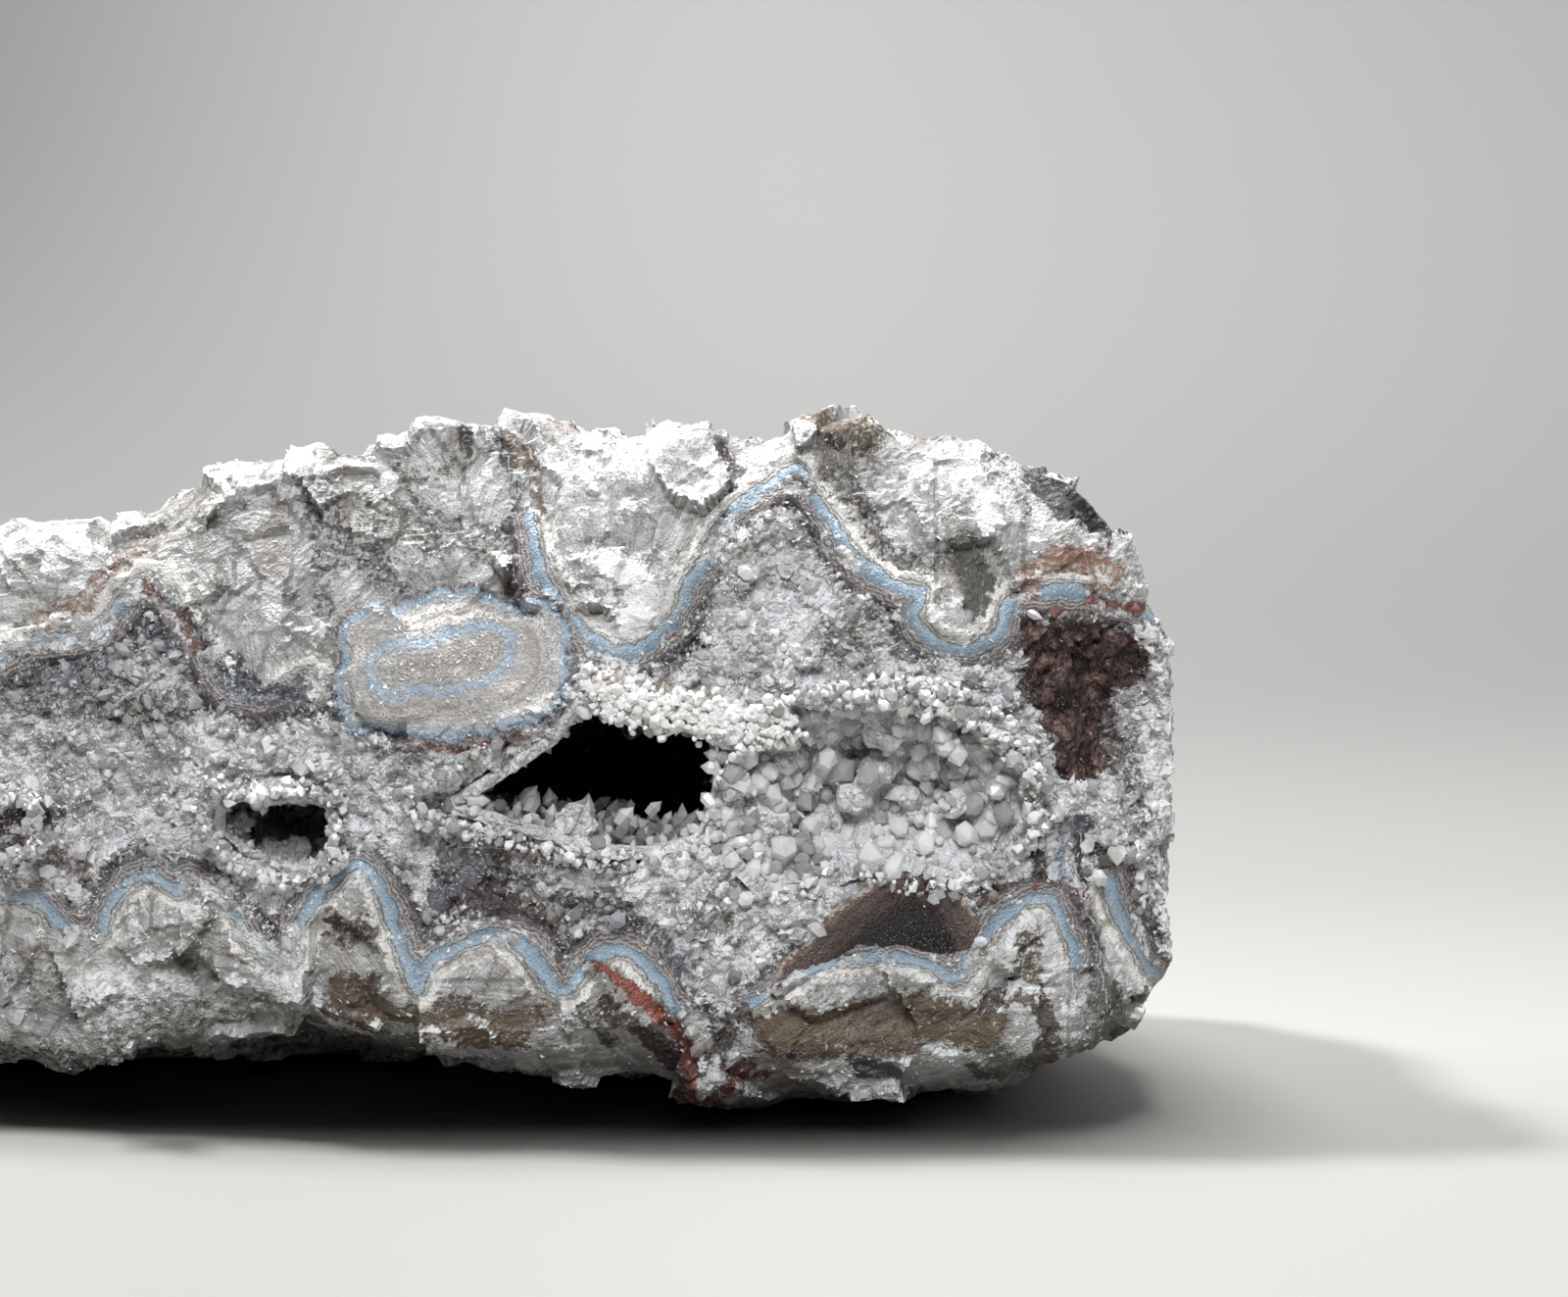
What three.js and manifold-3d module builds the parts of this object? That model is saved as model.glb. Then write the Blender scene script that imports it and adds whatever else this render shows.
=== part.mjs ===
// Rough tuxedo lace agate: a broken length of vein, about 164 mm long, lying on its own broken base.
// Calcite makes up the top and the bottom, two zigzag agate bands run through the stone along its length, and
// sugary quartz fills the middle, where hollows lined with quartz crystals open on the broken front face.
//
// Millimetres, +Z up, +X along the stone, -Y towards the broken front face. While it is being made, the stone's front
// face lies near y = 0 and its middle in length at x = 0. At the end everything moves so that the origin is at the
// bottom centre of the stone's bounding box.
import * as THREE from "three";
import { ImprovedNoise } from "three/addons/math/ImprovedNoise.js";
import { mergeVertices } from "three/addons/utils/BufferGeometryUtils.js";
import Module from "manifold-3d";

const wasm = await Module();
wasm.setup();

// The stone's outline from the front, as [x, z] corners from its left end to its right end.
const TOP_OUTLINE = [
  [-82.1, 29.0], [-80.6, 39.8], [-75.1, 48.8], [-67.1, 54.0], [-57.1, 56.8], [-48.1, 59.6], [-39.1, 61.8],
  [-33.1, 63.0], [-28.6, 64.1], [-25.1, 63.8], [-23.6, 66.0], [-18.6, 67.9], [-11.1, 70.4], [-3.6, 71.9],
  [0.9, 72.1], [4.1, 74.2], [6.9, 74.8], [13.9, 74.0], [16.5, 72.1], [21.4, 72.1], [26.4, 73.3], [31.9, 73.6],
  [34.4, 72.4], [41.4, 73.4], [43.1, 74.8], [49.9, 74.8], [51.9, 73.4], [59.4, 73.0], [63.9, 72.0], [66.4, 70.4],
  [68.9, 68.0], [72.1, 66.0], [74.1, 62.3], [75.1, 58.3], [77.4, 55.3], [78.9, 50.8], [80.9, 45.8], [81.7, 39.8],
  [82.1, 29.8],
];
const BOTTOM_OUTLINE = [
  [-82.1, 17.0], [-80.0, 10.0], [-76.0, 4.5], [-70.0, 0.6], [-60.0, 0.0], [-50.0, 1.4], [-43.0, 3.8], [-39.1, 5.0],
  [-35.6, 3.8], [-28.3, 4.5], [-23.1, 6.5], [-18.6, 7.6], [-12.6, 9.2], [-6.6, 7.8], [-1.1, 7.1], [4.5, 5.2],
  [8.3, 6.0], [13.9, 3.0], [21.0, 3.4], [29.2, 3.0], [31.8, 0.6], [34.9, 0.0], [38.5, 0.0], [40.9, 1.1],
  [46.7, 0.6], [56.5, 1.2], [60.6, 2.2], [63.8, 2.7], [64.9, 4.4], [71.7, 5.8], [74.1, 8.3], [77.6, 12.3],
  [81.1, 14.5], [82.1, 15.8],
];
// The stone's outline from above, as [x, y] corners of its front edge and of its back edge.
const FRONT_EDGE = [
  [-82.1, 27.0], [-80.0, 21.0], [-76.0, 16.0], [-66.0, 11.5], [-50.0, 8.0], [-39.0, 6.0], [-20.0, 3.0], [0.0, 1.2],
  [20.0, 0.2], [45.0, 0.0], [60.0, 0.8], [70.0, 2.6], [73.5, 5.0], [78.0, 9.5], [80.5, 14.0], [82.1, 20.0],
];
const BACK_EDGE = [
  [-82.1, 33.0], [-80.0, 40.0], [-76.0, 45.0], [-66.0, 50.5], [-50.0, 55.0], [-30.0, 59.5], [0.0, 62.0],
  [30.0, 62.0], [50.0, 60.0], [66.0, 57.0], [74.0, 52.0], [78.0, 46.0], [80.5, 38.0], [82.1, 26.0],
];

// Rings of points run round the stone along its length. Each counts its steps over the back, top, front and base.
const BACK_STEPS = 11;
const TOP_STEPS = 11;
const FRONT_STEPS = 17;
const BASE_STEPS = 7;
const AROUND = BACK_STEPS + TOP_STEPS + FRONT_STEPS + BASE_STEPS;
const CLOSEST_RINGS = 2.8;
const WIDEST_RINGS = 4.3;
const SMOOTHING_STEPS = [-12, -8, -4, 0, 4, 8, 12];

// The front's upper and lower edges are crisp fractures, and the back is rounder.
const FRONT_CRISPNESS = 9;
const BACK_CRISPNESS = 2.8;
const TOP_LEAN = 8.5; // how far the top of the front face leans back
const FOOT_LEAN = 4.5; // how far the foot of the front face is undercut
const FOOT_HEIGHT = 16;
const LEAN_START = 38;
const FULL_HEIGHT = 75;
const BACK_DROP = 22; // how much lower the stone is at its back
const BACK_RISE = 24; // how fast its base rises behind the part that it rests on
const BASE_CUT = 0.8; // how far the base is cut flat, for the stone to rest on
const UNDERCUT = [0.3, 0.52]; // where the arched foot of the front face comes down to the base, as shares of the depth

// Shares of a turn or a length that spread places evenly, without a pattern.
const GOLDEN_SHARE = 0.618034;
const PLASTIC_SHARE = 0.7548777;
const GOLDEN_ANGLE = 2.399963;

// Broad forms of the front face, as strokes: points [x, z], the stroke's radius and how deep it is sunk. A negative
// depth stands proud.
const RELIEF = {
  quartzUnderVee: { path: [[31, 50], [40, 58], [50, 50]], radius: 7, depth: 2.2 },
  quartzMiddle: { path: [[28, 44], [48, 46], [62, 44]], radius: 6, depth: 2.0 },
  quartzLeft: { path: [[-40, 36], [-20, 33], [2, 33]], radius: 7, depth: 1.8 },
  quartzLow: { path: [[10, 24], [24, 22], [36, 20]], radius: 5, depth: 1.4 },
  brownPit: { path: [[69, 49], [74, 47], [72, 40]], radius: 4.6, depth: 5.2 },
  brownCleft: { path: [[71, 43], [72.5, 38]], radius: 2.4, depth: 3.0 },
  eye: { path: [[0, 48], [12, 49]], radius: 8, depth: -1.5 },
  veeCalcite: { path: [[22, 68], [24, 58]], radius: 5, depth: 1.6 },
  rightCalcite: { path: [[50, 66], [55, 60]], radius: 5, depth: 1.4 },
  leftShoulder: { path: [[-34, 58], [-26, 60]], radius: 5, depth: -1.2 },
  lowCalcite: { path: [[42, 9], [52, 9], [64, 9]], radius: 6, depth: -1.8 },
  brownAgate: { path: [[44, 18], [56, 22]], radius: 4, depth: 0.9 },
  footPoint: { path: [[33, 4], [35, 1]], radius: 5, depth: -2.6 },
  archCalcite: { path: [[-8, 16], [6, 14]], radius: 5, depth: -1.0 },
};

// Flakes broken off the top, ends, back and base. Each leaves a flat cleavage face, with steps round it.
const FLAKES = 120;
const FLAKE_RADIUS = [10, 24];
const FLAKE_DEPTH = [0.3, 2.8];
const FLAKE_TILT = 0.2; // how far a face turns from the stone's general form
const FRONT_CLEAR = [4, 10]; // how far behind the front face the flakes start, and are at their full depth
const BROKEN_END = [-60, -50]; // left of this, flakes are broken off the front face too
const FLAKE_BASE = 5; // the flakes fade out below this height
const LOWEST_FLAKE = -0.5; // no flake is broken off skin whose outward direction points down further than this

// Cleaved calcite blocks that stand out of the broken rim: centre [x, y, z], size [x, y, z] and turn in degrees.
const CALCITE_BLOCKS = {
  rimCrest: { at: [46.2, 11.5, 70.0], size: [8.5, 8.0, 8.0], turn: [8, -6, 22] },
  rimLeft: { at: [9.5, 12.0, 69.4], size: [12.0, 9.0, 8.0], turn: [-6, 4, -14] },
  rimTooth: { at: [31.0, 11.0, 69.0], size: [6.0, 7.0, 8.0], turn: [5, 12, 18] },
  rightShoulder: { at: [66.0, 15.0, 62.0], size: [8.0, 10.0, 10.0], turn: [10, 24, 8] },
  leftRidge: { at: [-14.0, 13.0, 63.0], size: [13.0, 10.0, 8.0], turn: [4, -14, 12] },
  farLeftRidge: { at: [-48.0, 20.0, 52.6], size: [12.0, 11.0, 8.0], turn: [-8, -8, 22] },
  lowLedge: { at: [55.0, 8.6, 5.4], size: [17.0, 9.0, 6.4], turn: [-6, 2, 4] },
  footLedge: { at: [24.0, 11.0, 6.4], size: [14.0, 9.0, 6.0], turn: [-8, -3, -6] },
  lowLeftLedge: { at: [-27.0, 15.0, 9.4], size: [15.0, 10.0, 6.0], turn: [-10, 5, 10] },
};

// Hollows that open on the front face: the mouth's outline as [x, z] corners round its middle, and the hollow's size
// as shares of that outline at depths behind y = 0.
const HOLLOWS = {
  largeChamber: {
    middle: [22.9, 36.8],
    mouth: [
      [19.9, 46.1], [24.9, 43.8], [30.9, 43.0], [35.7, 42.0], [35.2, 36.8], [33.6, 31.0], [27.4, 29.5],
      [20.9, 29.8], [13.9, 32.0], [5.6, 34.3], [8.5, 36.2], [12.9, 39.0], [16.9, 41.9],
    ],
    depths: [-8, 2.5, 6, 12, 20, 27, 31],
    shares: [1.0, 1.0, 1.08, 1.2, 1.12, 0.85, 0.45],
  },
  crystalBowl: {
    middle: [48.9, 36.3],
    mouth: [
      [33.2, 41.0], [37.0, 45.0], [45.9, 46.8], [53.9, 45.6], [61.0, 43.6], [66.2, 39.6], [67.0, 33.8],
      [64.8, 28.9], [58.8, 26.9], [50.8, 28.6], [43.9, 25.6], [37.9, 26.0], [34.2, 30.0],
    ],
    depths: [-8, 1.5, 5, 8, 10.5],
    shares: [1.12, 1.0, 0.88, 0.7, 0.4],
  },
  smallHollow: {
    middle: [-11.3, 31.3],
    mouth: [
      [-17.3, 35.2], [-13.1, 34.6], [-9.1, 35.0], [-5.8, 34.3], [-5.8, 29.2], [-7.9, 27.5], [-11.9, 27.8],
      [-15.3, 29.6], [-17.6, 31.8],
    ],
    depths: [-6, 4, 8, 13, 17],
    shares: [1.0, 1.0, 1.18, 1.1, 0.55],
  },
  leftPit: {
    middle: [-38.9, 32.0],
    mouth: [[-41.2, 34.2], [-38.8, 34.6], [-36.8, 33.8], [-36.3, 30.6], [-38.8, 29.4], [-41.0, 30.4]],
    depths: [-3, 7, 11, 14],
    shares: [1.0, 1.0, 1.05, 0.6],
  },
};

// The quartz crust that lines a hollow, and the crystals that stand on it.
const CRUST_FIT = 0.94; // the crust's outer size, as a share of its hollow's, which leaves a gap of about 0.4 mm
const CRUST_GAP = 0.5;
const CRUST_WALL = 0.82; // the crust's inner size, as a share of its outer size
const CRUST_FLOOR = 1.8;
const CRYSTAL_SIDES = 6;
const LARGE_HOLLOW_CRYSTALS = { chamber: 12, bowl: 18, radius: [1.4, 2.6], length: [3.6, 7.2] };
const SMALL_HOLLOW_CRYSTALS = { chamber: 7, radius: [0.9, 1.5], length: [2.2, 3.8] };

const COLOURS = { stone: 0xaaa6a1, crust: 0xc9ccd0 };

const noiseField = new ImprovedNoise();

// Smooth noise between about -1 and 1, with features of the size given.
function noise(x, y, z, size, layer = 0) {
  return noiseField.noise(x / size + 17.3 * layer, y / size + 5.1, z / size - 9.7 * layer);
}

// A repeatable number from 0 to 1 for each count and use.
function chance(count, use) {
  const wave = Math.sin(count * 12.9898 + use * 78.233) * 43758.5453;
  return wave - Math.floor(wave);
}

function between([low, high], share) {
  return low + (high - low) * share;
}

// Rises smoothly from 0 at the start to 1 at the end.
function rise(start, end, value) {
  return THREE.MathUtils.smoothstep(value, start, end);
}

// Falls smoothly from 1 at the start to 0 at the end.
function fall(start, end, value) {
  return 1 - rise(start, end, value);
}

// The second coordinate of an outline at a place along it, straight between its corners.
function along(outline, x) {
  const last = outline.length - 1;
  if (x <= outline[0][0]) return outline[0][1];
  if (x >= outline[last][0]) return outline[last][1];
  const next = outline.findIndex(([cornerX]) => cornerX > x);
  const [x0, z0] = outline[next - 1];
  const [x1, z1] = outline[next];
  return z0 + ((z1 - z0) * (x - x0)) / (x1 - x0);
}

// The outline's general run, without its small steps, for the stone behind its front edge.
function alongSmoothed(outline, x) {
  let sum = 0;
  for (const step of SMOOTHING_STEPS) sum += along(outline, x + step);
  return sum / SMOOTHING_STEPS.length;
}

// How far a point [x, z] lies from a stroke's path.
function distanceToPath(x, z, path) {
  let nearest = Infinity;
  for (let i = 0; i + 1 < path.length; i++) {
    const [ax, az] = path[i];
    const [bx, bz] = path[i + 1];
    const [dx, dz] = [bx - ax, bz - az];
    const share = THREE.MathUtils.clamp(((x - ax) * dx + (z - az) * dz) / (dx * dx + dz * dz), 0, 1);
    nearest = Math.min(nearest, Math.hypot(x - ax - share * dx, z - az - share * dz));
  }
  return nearest;
}

// A closed geometry, with its shared vertices merged, as a solid.
function solidFrom(geometry) {
  const bare = geometry.clone();
  bare.deleteAttribute("normal");
  bare.deleteAttribute("uv");
  const merged = mergeVertices(bare, 1e-4);
  const corners = merged.index.array;
  const triVerts = [];
  for (let i = 0; i < corners.length; i += 3) {
    const [a, b, c] = [corners[i], corners[i + 1], corners[i + 2]];
    if (a !== b && b !== c && a !== c) triVerts.push(a, b, c);
  }
  return new wasm.Manifold(
    new wasm.Mesh({
      numProp: 3,
      vertProperties: new Float32Array(merged.attributes.position.array),
      triVerts: new Uint32Array(triVerts),
    }),
  );
}

function geometryFrom(solid) {
  const mesh = solid.getMesh();
  const geometry = new THREE.BufferGeometry();
  geometry.setAttribute("position", new THREE.BufferAttribute(new Float32Array(mesh.vertProperties), 3));
  geometry.setIndex(new THREE.BufferAttribute(new Uint32Array(mesh.triVerts), 1));
  geometry.computeVertexNormals();
  return geometry;
}

// The biggest single body of a solid, without crumbs that a cut left loose.
function biggestBody(solid) {
  return solid.decompose().reduce((most, body) => (body.volume() > most.volume() ? body : most));
}

// Where the rings stand along the stone: at the outline's corners, thinned out and filled in.
function ringPlaces() {
  const corners = [...TOP_OUTLINE, ...BOTTOM_OUTLINE].map(([x]) => x).sort((a, b) => a - b);
  const kept = [corners[0]];
  for (const x of corners) if (x - kept[kept.length - 1] >= CLOSEST_RINGS) kept.push(x);
  kept[kept.length - 1] = corners[corners.length - 1];
  const places = [kept[0]];
  for (const x of kept.slice(1)) {
    const before = places[places.length - 1];
    const steps = Math.ceil((x - before) / WIDEST_RINGS);
    for (let i = 1; i <= steps; i++) places.push(before + ((x - before) * i) / steps);
  }
  return places;
}

// The ring's points as directions [y, z] on a square, from the back, over the top and front, to the base.
function ringDirections() {
  const directions = [];
  for (let i = 0; i < BACK_STEPS; i++) directions.push([1, -1 + (2 * i) / BACK_STEPS]);
  for (let i = 0; i < TOP_STEPS; i++) directions.push([1 - (2 * i) / TOP_STEPS, 1]);
  for (let i = 0; i < FRONT_STEPS; i++) directions.push([-1, 1 - (2 * i) / FRONT_STEPS]);
  for (let i = 0; i < BASE_STEPS; i++) directions.push([-1 + (2 * i) / BASE_STEPS, -1]);
  return directions;
}

// How far the front face leans back from its front edge at a height.
function frontLean(z) {
  const top = TOP_LEAN * Math.pow(Math.max(0, (z - LEAN_START) / (FULL_HEIGHT - LEAN_START)), 2);
  const foot = FOOT_LEAN * Math.pow(Math.max(0, 1 - z / FOOT_HEIGHT), 2);
  return top + foot;
}

function frontRelief(x, z) {
  let sunk = frontLean(z) + 0.7 * noise(x, 0, z, 9) + 0.5 * noise(x, 0, z, 4.5, 1);
  for (const { path, radius, depth } of Object.values(RELIEF)) {
    const wander = 1.2 * noise(x, 3, z, 5, 2);
    sunk += depth * fall(0.45 * radius, radius, distanceToPath(x, z, path) + wander);
  }
  return sunk;
}

// The point of the ring at x in a direction [y, z] on the square.
function ringPoint(x, [across, up]) {
  const backness = (across + 1) / 2;
  const crispness = THREE.MathUtils.lerp(FRONT_CRISPNESS, BACK_CRISPNESS, rise(0.1, 0.8, backness));
  const round = Math.pow(Math.abs(across) ** crispness + Math.abs(up) ** crispness, -1 / crispness);
  const [yShare, zShare] = [(across * round + 1) / 2, (up * round + 1) / 2];

  const inside = rise(0.04, 0.34, yShare);
  const overBase = rise(...UNDERCUT, yShare);
  const atEnd = rise(60, 78, Math.abs(x));
  const frontFoot = along(BOTTOM_OUTLINE, x);
  const restingBase = THREE.MathUtils.lerp(-BASE_CUT, frontFoot, atEnd) + BACK_RISE * Math.max(0, yShare - 0.8);
  const bottom = THREE.MathUtils.lerp(frontFoot, restingBase, overBase);
  const crest = THREE.MathUtils.lerp(along(TOP_OUTLINE, x), alongSmoothed(TOP_OUTLINE, x), inside);
  const top = crest - BACK_DROP * Math.max(0, yShare - 0.2) ** 2 * (1 - 0.5 * atEnd);
  const [front, back] = [along(FRONT_EDGE, x), along(BACK_EDGE, x)];

  const { lerp } = THREE.MathUtils;
  const point = new THREE.Vector3(x, lerp(front, back, yShare), lerp(bottom, top, zShare));
  const facesFront = fall(0.03, 0.2, yShare);
  const slender = Math.min(1, (back - front) / 30);
  point.y += facesFront * slender * frontRelief(point.x, point.z);
  return point;
}

// The stone's rings of points, from its left end to its right end.
function stoneRings() {
  const directions = ringDirections();
  return ringPlaces().map((x) => directions.map((direction) => ringPoint(x, direction)));
}

// The direction that the skin looks in at the ring i's point j.
function outwardAt(rings, i, j) {
  const lengthwise = new THREE.Vector3().subVectors(rings[i + 1][j], rings[i - 1][j]);
  const before = rings[i][(j + AROUND - 1) % AROUND];
  const after = rings[i][(j + 1) % AROUND];
  return new THREE.Vector3().subVectors(after, before).cross(lengthwise).normalize();
}

// Breaks the flakes off: the points over each flake's floor move down to it.
function breakFlakes(rings) {
  const points = rings.flat();
  for (let count = 0; count < FLAKES; count++) {
    const i = 1 + Math.floor(((count * GOLDEN_SHARE) % 1) * (rings.length - 2));
    const j = Math.floor(((count * PLASTIC_SHARE) % 1) * AROUND);
    const outward = outwardAt(rings, i, j);
    if (outward.z < LOWEST_FLAKE) continue;
    const centre = rings[i][j].clone();
    const tilt = [2, 3, 4].map((use) => between([-FLAKE_TILT, FLAKE_TILT], chance(count, use)));
    outward.add(new THREE.Vector3(...tilt)).normalize();
    const radius = between(FLAKE_RADIUS, chance(count, 1));
    const depth = between(FLAKE_DEPTH, chance(count, 5));
    for (const point of points) {
      const offset = point.clone().sub(centre);
      const above = offset.dot(outward) + depth;
      if (above <= 0 || offset.length() > radius) continue;
      const behind = point.y - along(FRONT_EDGE, point.x) - frontLean(point.z);
      const free = Math.max(rise(...FRONT_CLEAR, behind), fall(...BROKEN_END, point.x));
      point.addScaledVector(outward, -above * free * rise(0, FLAKE_BASE, point.z));
    }
  }
  return rings;
}

// The stone's skin, before it is broken and its hollows are cut: a cylinder whose points move out to the rings.
function stoneGeometry(rings) {
  const geometry = new THREE.CylinderGeometry(1, 1, 2, AROUND, rings.length - 1);
  const vertices = geometry.attributes.position;
  for (let i = 0; i < vertices.count; i++) {
    const [sine, height, cosine] = [vertices.getX(i), vertices.getY(i), vertices.getZ(i)];
    const ring = rings[Math.round(((height + 1) / 2) * (rings.length - 1))];
    if (Math.hypot(sine, cosine) < 0.5) {
      const middle = ring.reduce((sum, point) => sum.add(point), new THREE.Vector3()).divideScalar(AROUND);
      vertices.setXYZ(i, ...middle.toArray());
    } else {
      const turn = Math.atan2(sine, cosine) / (2 * Math.PI);
      const step = Math.round((turn + 1) * AROUND) % AROUND;
      vertices.setXYZ(i, ...ring[step].toArray());
    }
  }
  return geometry;
}

// A hollow's form as a solid. fit is its size as a share of the hollow's, and inset how much sooner it ends.
function hollowSolid({ middle, mouth, depths, shares }, fit = 1, inset = 0) {
  const shape = new THREE.Shape(mouth.map(([x, z]) => new THREE.Vector2(x - middle[0], z - middle[1])));
  const steps = depths.length - 1;
  const geometry = new THREE.ExtrudeGeometry(shape, { depth: steps, steps, bevelEnabled: false });
  const vertices = geometry.attributes.position;
  for (let i = 0; i < vertices.count; i++) {
    const step = steps - Math.round(vertices.getZ(i));
    const share = shares[step] * fit;
    const depth = depths[step] - inset * (step > 1 ? 1 : 0);
    vertices.setXYZ(i, vertices.getX(i) * share, vertices.getY(i) * share, -depth);
  }
  geometry.rotateX(Math.PI / 2);
  geometry.translate(middle[0], 0, middle[1]);
  return solidFrom(geometry);
}

// A six-sided quartz crystal that points along a direction from its foot.
function crystal(foot, direction, radius, length) {
  const point = 0.9 * radius + 0.12 * length;
  const profile = [
    new THREE.Vector2(0, 0),
    new THREE.Vector2(radius, 0),
    new THREE.Vector2(radius, length - point),
    new THREE.Vector2(0, length),
  ];
  const geometry = new THREE.LatheGeometry(profile, CRYSTAL_SIDES);
  const up = new THREE.Vector3(0, 1, 0);
  geometry.applyQuaternion(new THREE.Quaternion().setFromUnitVectors(up, direction.clone().normalize()));
  geometry.translate(foot.x, foot.y, foot.z);
  return solidFrom(geometry);
}

// Crystals on the sides and the back of a hollow, pointing towards its middle line and its mouth.
function chamberCrystals(hollow, count, radii, lengths, use) {
  const { middle, mouth, depths, shares } = hollow;
  const crystals = [];
  for (let i = 0; i < count; i++) {
    const place = ((i * GOLDEN_SHARE) % 1) * mouth.length;
    const corner = Math.floor(place);
    const [ax, az] = mouth[corner];
    const [bx, bz] = mouth[(corner + 1) % mouth.length];
    const share = place - corner;
    const band = 1 + Math.floor(chance(i, use) * (depths.length - 2.2));
    const inBand = chance(i, use + 1);
    const size = THREE.MathUtils.lerp(shares[band], shares[band + 1], inBand) * CRUST_FIT * 0.96;
    const foot = new THREE.Vector3(
      middle[0] + (ax + (bx - ax) * share - middle[0]) * size,
      THREE.MathUtils.lerp(depths[band], depths[band + 1], inBand),
      middle[1] + (az + (bz - az) * share - middle[1]) * size,
    );
    const inward = new THREE.Vector3(middle[0] - foot.x, 0, middle[1] - foot.z).normalize();
    inward.y = between([-0.9, 0.1], chance(i, use + 2));
    inward.x += between([-0.4, 0.4], chance(i, use + 3));
    inward.z += between([-0.4, 0.4], chance(i, use + 4));
    crystals.push(crystal(foot, inward, between(radii, chance(i, use + 5)), between(lengths, chance(i, use + 6))));
  }
  return crystals;
}

// Crystals spread over an open bowl, pointing out at the viewer and away from the bowl's rim.
function bowlCrystals(hollow, count, radii, lengths, use) {
  const { middle, mouth, depths, shares } = hollow;
  const [rx, rz] = [0, 1].map((axis) => {
    const places = mouth.map((corner) => corner[axis]);
    return (Math.max(...places) - Math.min(...places)) / 2;
  });
  const crystals = [];
  for (let i = 0; i < count; i++) {
    const spread = Math.sqrt((i + 0.5) / count);
    const turn = i * GOLDEN_ANGLE;
    const size = spread * CRUST_FIT * 0.9;
    const band = Math.max(1, shares.findIndex((share) => share < spread) - 1);
    const floor = spread < shares[shares.length - 1] ? depths[depths.length - 1] : depths[band + 1];
    const foot = new THREE.Vector3(
      middle[0] + rx * size * Math.cos(turn) * 0.94,
      floor - 1.6,
      middle[1] + rz * size * Math.sin(turn) * 0.9,
    );
    const outward = new THREE.Vector3(
      -0.55 * spread * Math.cos(turn) + between([-0.55, 0.55], chance(i, use)),
      -1,
      -0.45 * spread * Math.sin(turn) + between([-0.5, 0.5], chance(i, use + 1)),
    );
    crystals.push(crystal(foot, outward, between(radii, chance(i, use + 2)), between(lengths, chance(i, use + 3))));
  }
  return crystals;
}

// The crust of a hollow that is made of one or more forms: a wall that follows them, with its crystals fused to it.
function crust(forms, crystals, stone) {
  const outer = wasm.Manifold.union(forms.map((form) => hollowSolid(form, CRUST_FIT, CRUST_GAP)));
  const inner = wasm.Manifold.union(
    forms.map((form) => hollowSolid(form, CRUST_FIT * CRUST_WALL, CRUST_GAP + CRUST_FLOOR)),
  );
  const grown = wasm.Manifold.union([outer.subtract(inner), ...crystals]);
  return biggestBody(grown.intersect(outer).intersect(stone));
}

function calciteBlock({ at, size, turn }) {
  const geometry = new THREE.BoxGeometry(...size);
  const slant = new THREE.Matrix4().makeShear(0.22, 0, 0.18, 0, 0, 0.12);
  geometry.applyMatrix4(slant);
  const [tx, ty, tz] = turn.map((degrees) => THREE.MathUtils.degToRad(degrees));
  geometry.applyMatrix4(new THREE.Matrix4().makeRotationFromEuler(new THREE.Euler(tx, ty, tz)));
  geometry.translate(...at);
  return solidFrom(geometry);
}

function groundSlab() {
  const [long, wide, deep] = [400, 300, 40];
  const geometry = new THREE.BoxGeometry(long, wide, deep);
  geometry.translate(0, 0, -deep / 2);
  return solidFrom(geometry);
}

function namedMesh(name, solid, colour, roughness) {
  const material = new THREE.MeshStandardMaterial({ color: colour, roughness, metalness: 0 });
  const mesh = new THREE.Mesh(geometryFrom(solid), material);
  mesh.name = name;
  return mesh;
}

const blocks = Object.values(CALCITE_BLOCKS).map(calciteBlock);
const brokenStone = solidFrom(stoneGeometry(breakFlakes(stoneRings())));
const wholeStone = wasm.Manifold.union([brokenStone, ...blocks]).subtract(groundSlab());
const hollows = wasm.Manifold.union(Object.values(HOLLOWS).map((hollow) => hollowSolid(hollow)));
const stone = biggestBody(wholeStone.subtract(hollows));

const { largeChamber, crystalBowl, smallHollow } = HOLLOWS;
const largeSizes = LARGE_HOLLOW_CRYSTALS;
const largeCrust = crust(
  [largeChamber, crystalBowl],
  [
    ...chamberCrystals(largeChamber, largeSizes.chamber, largeSizes.radius, largeSizes.length, 10),
    ...bowlCrystals(crystalBowl, largeSizes.bowl, largeSizes.radius, largeSizes.length, 20),
  ],
  wholeStone,
);
const smallSizes = SMALL_HOLLOW_CRYSTALS;
const smallCrust = crust(
  [smallHollow],
  chamberCrystals(smallHollow, smallSizes.chamber, smallSizes.radius, smallSizes.length, 30),
  wholeStone,
);

const agate = new THREE.Group();
agate.add(
  namedMesh("agate_stone", stone, COLOURS.stone, 0.8),
  namedMesh("large_hollow_crystals", largeCrust, COLOURS.crust, 0.25),
  namedMesh("small_hollow_crystals", smallCrust, COLOURS.crust, 0.25),
);
const bounds = new THREE.Box3().setFromObject(agate);
const centre = bounds.getCenter(new THREE.Vector3());
agate.position.set(-centre.x, -centre.y, -bounds.min.z);

export default agate;
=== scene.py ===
# Rough lace agate: the looks of a broken length of vein, with its zigzag bands, calcite rims and crystal hollows.
#
# Shapes are worked out in millimetres from the frame and turned into metres when a mesh is made. Places on the
# broken face are given as pixels of the photograph's 1600 x 1323 frame, at 0.1 mm to the pixel, and carry on through
# the stone along the lines of sight, as the bands of a vein do.
import math

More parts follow.
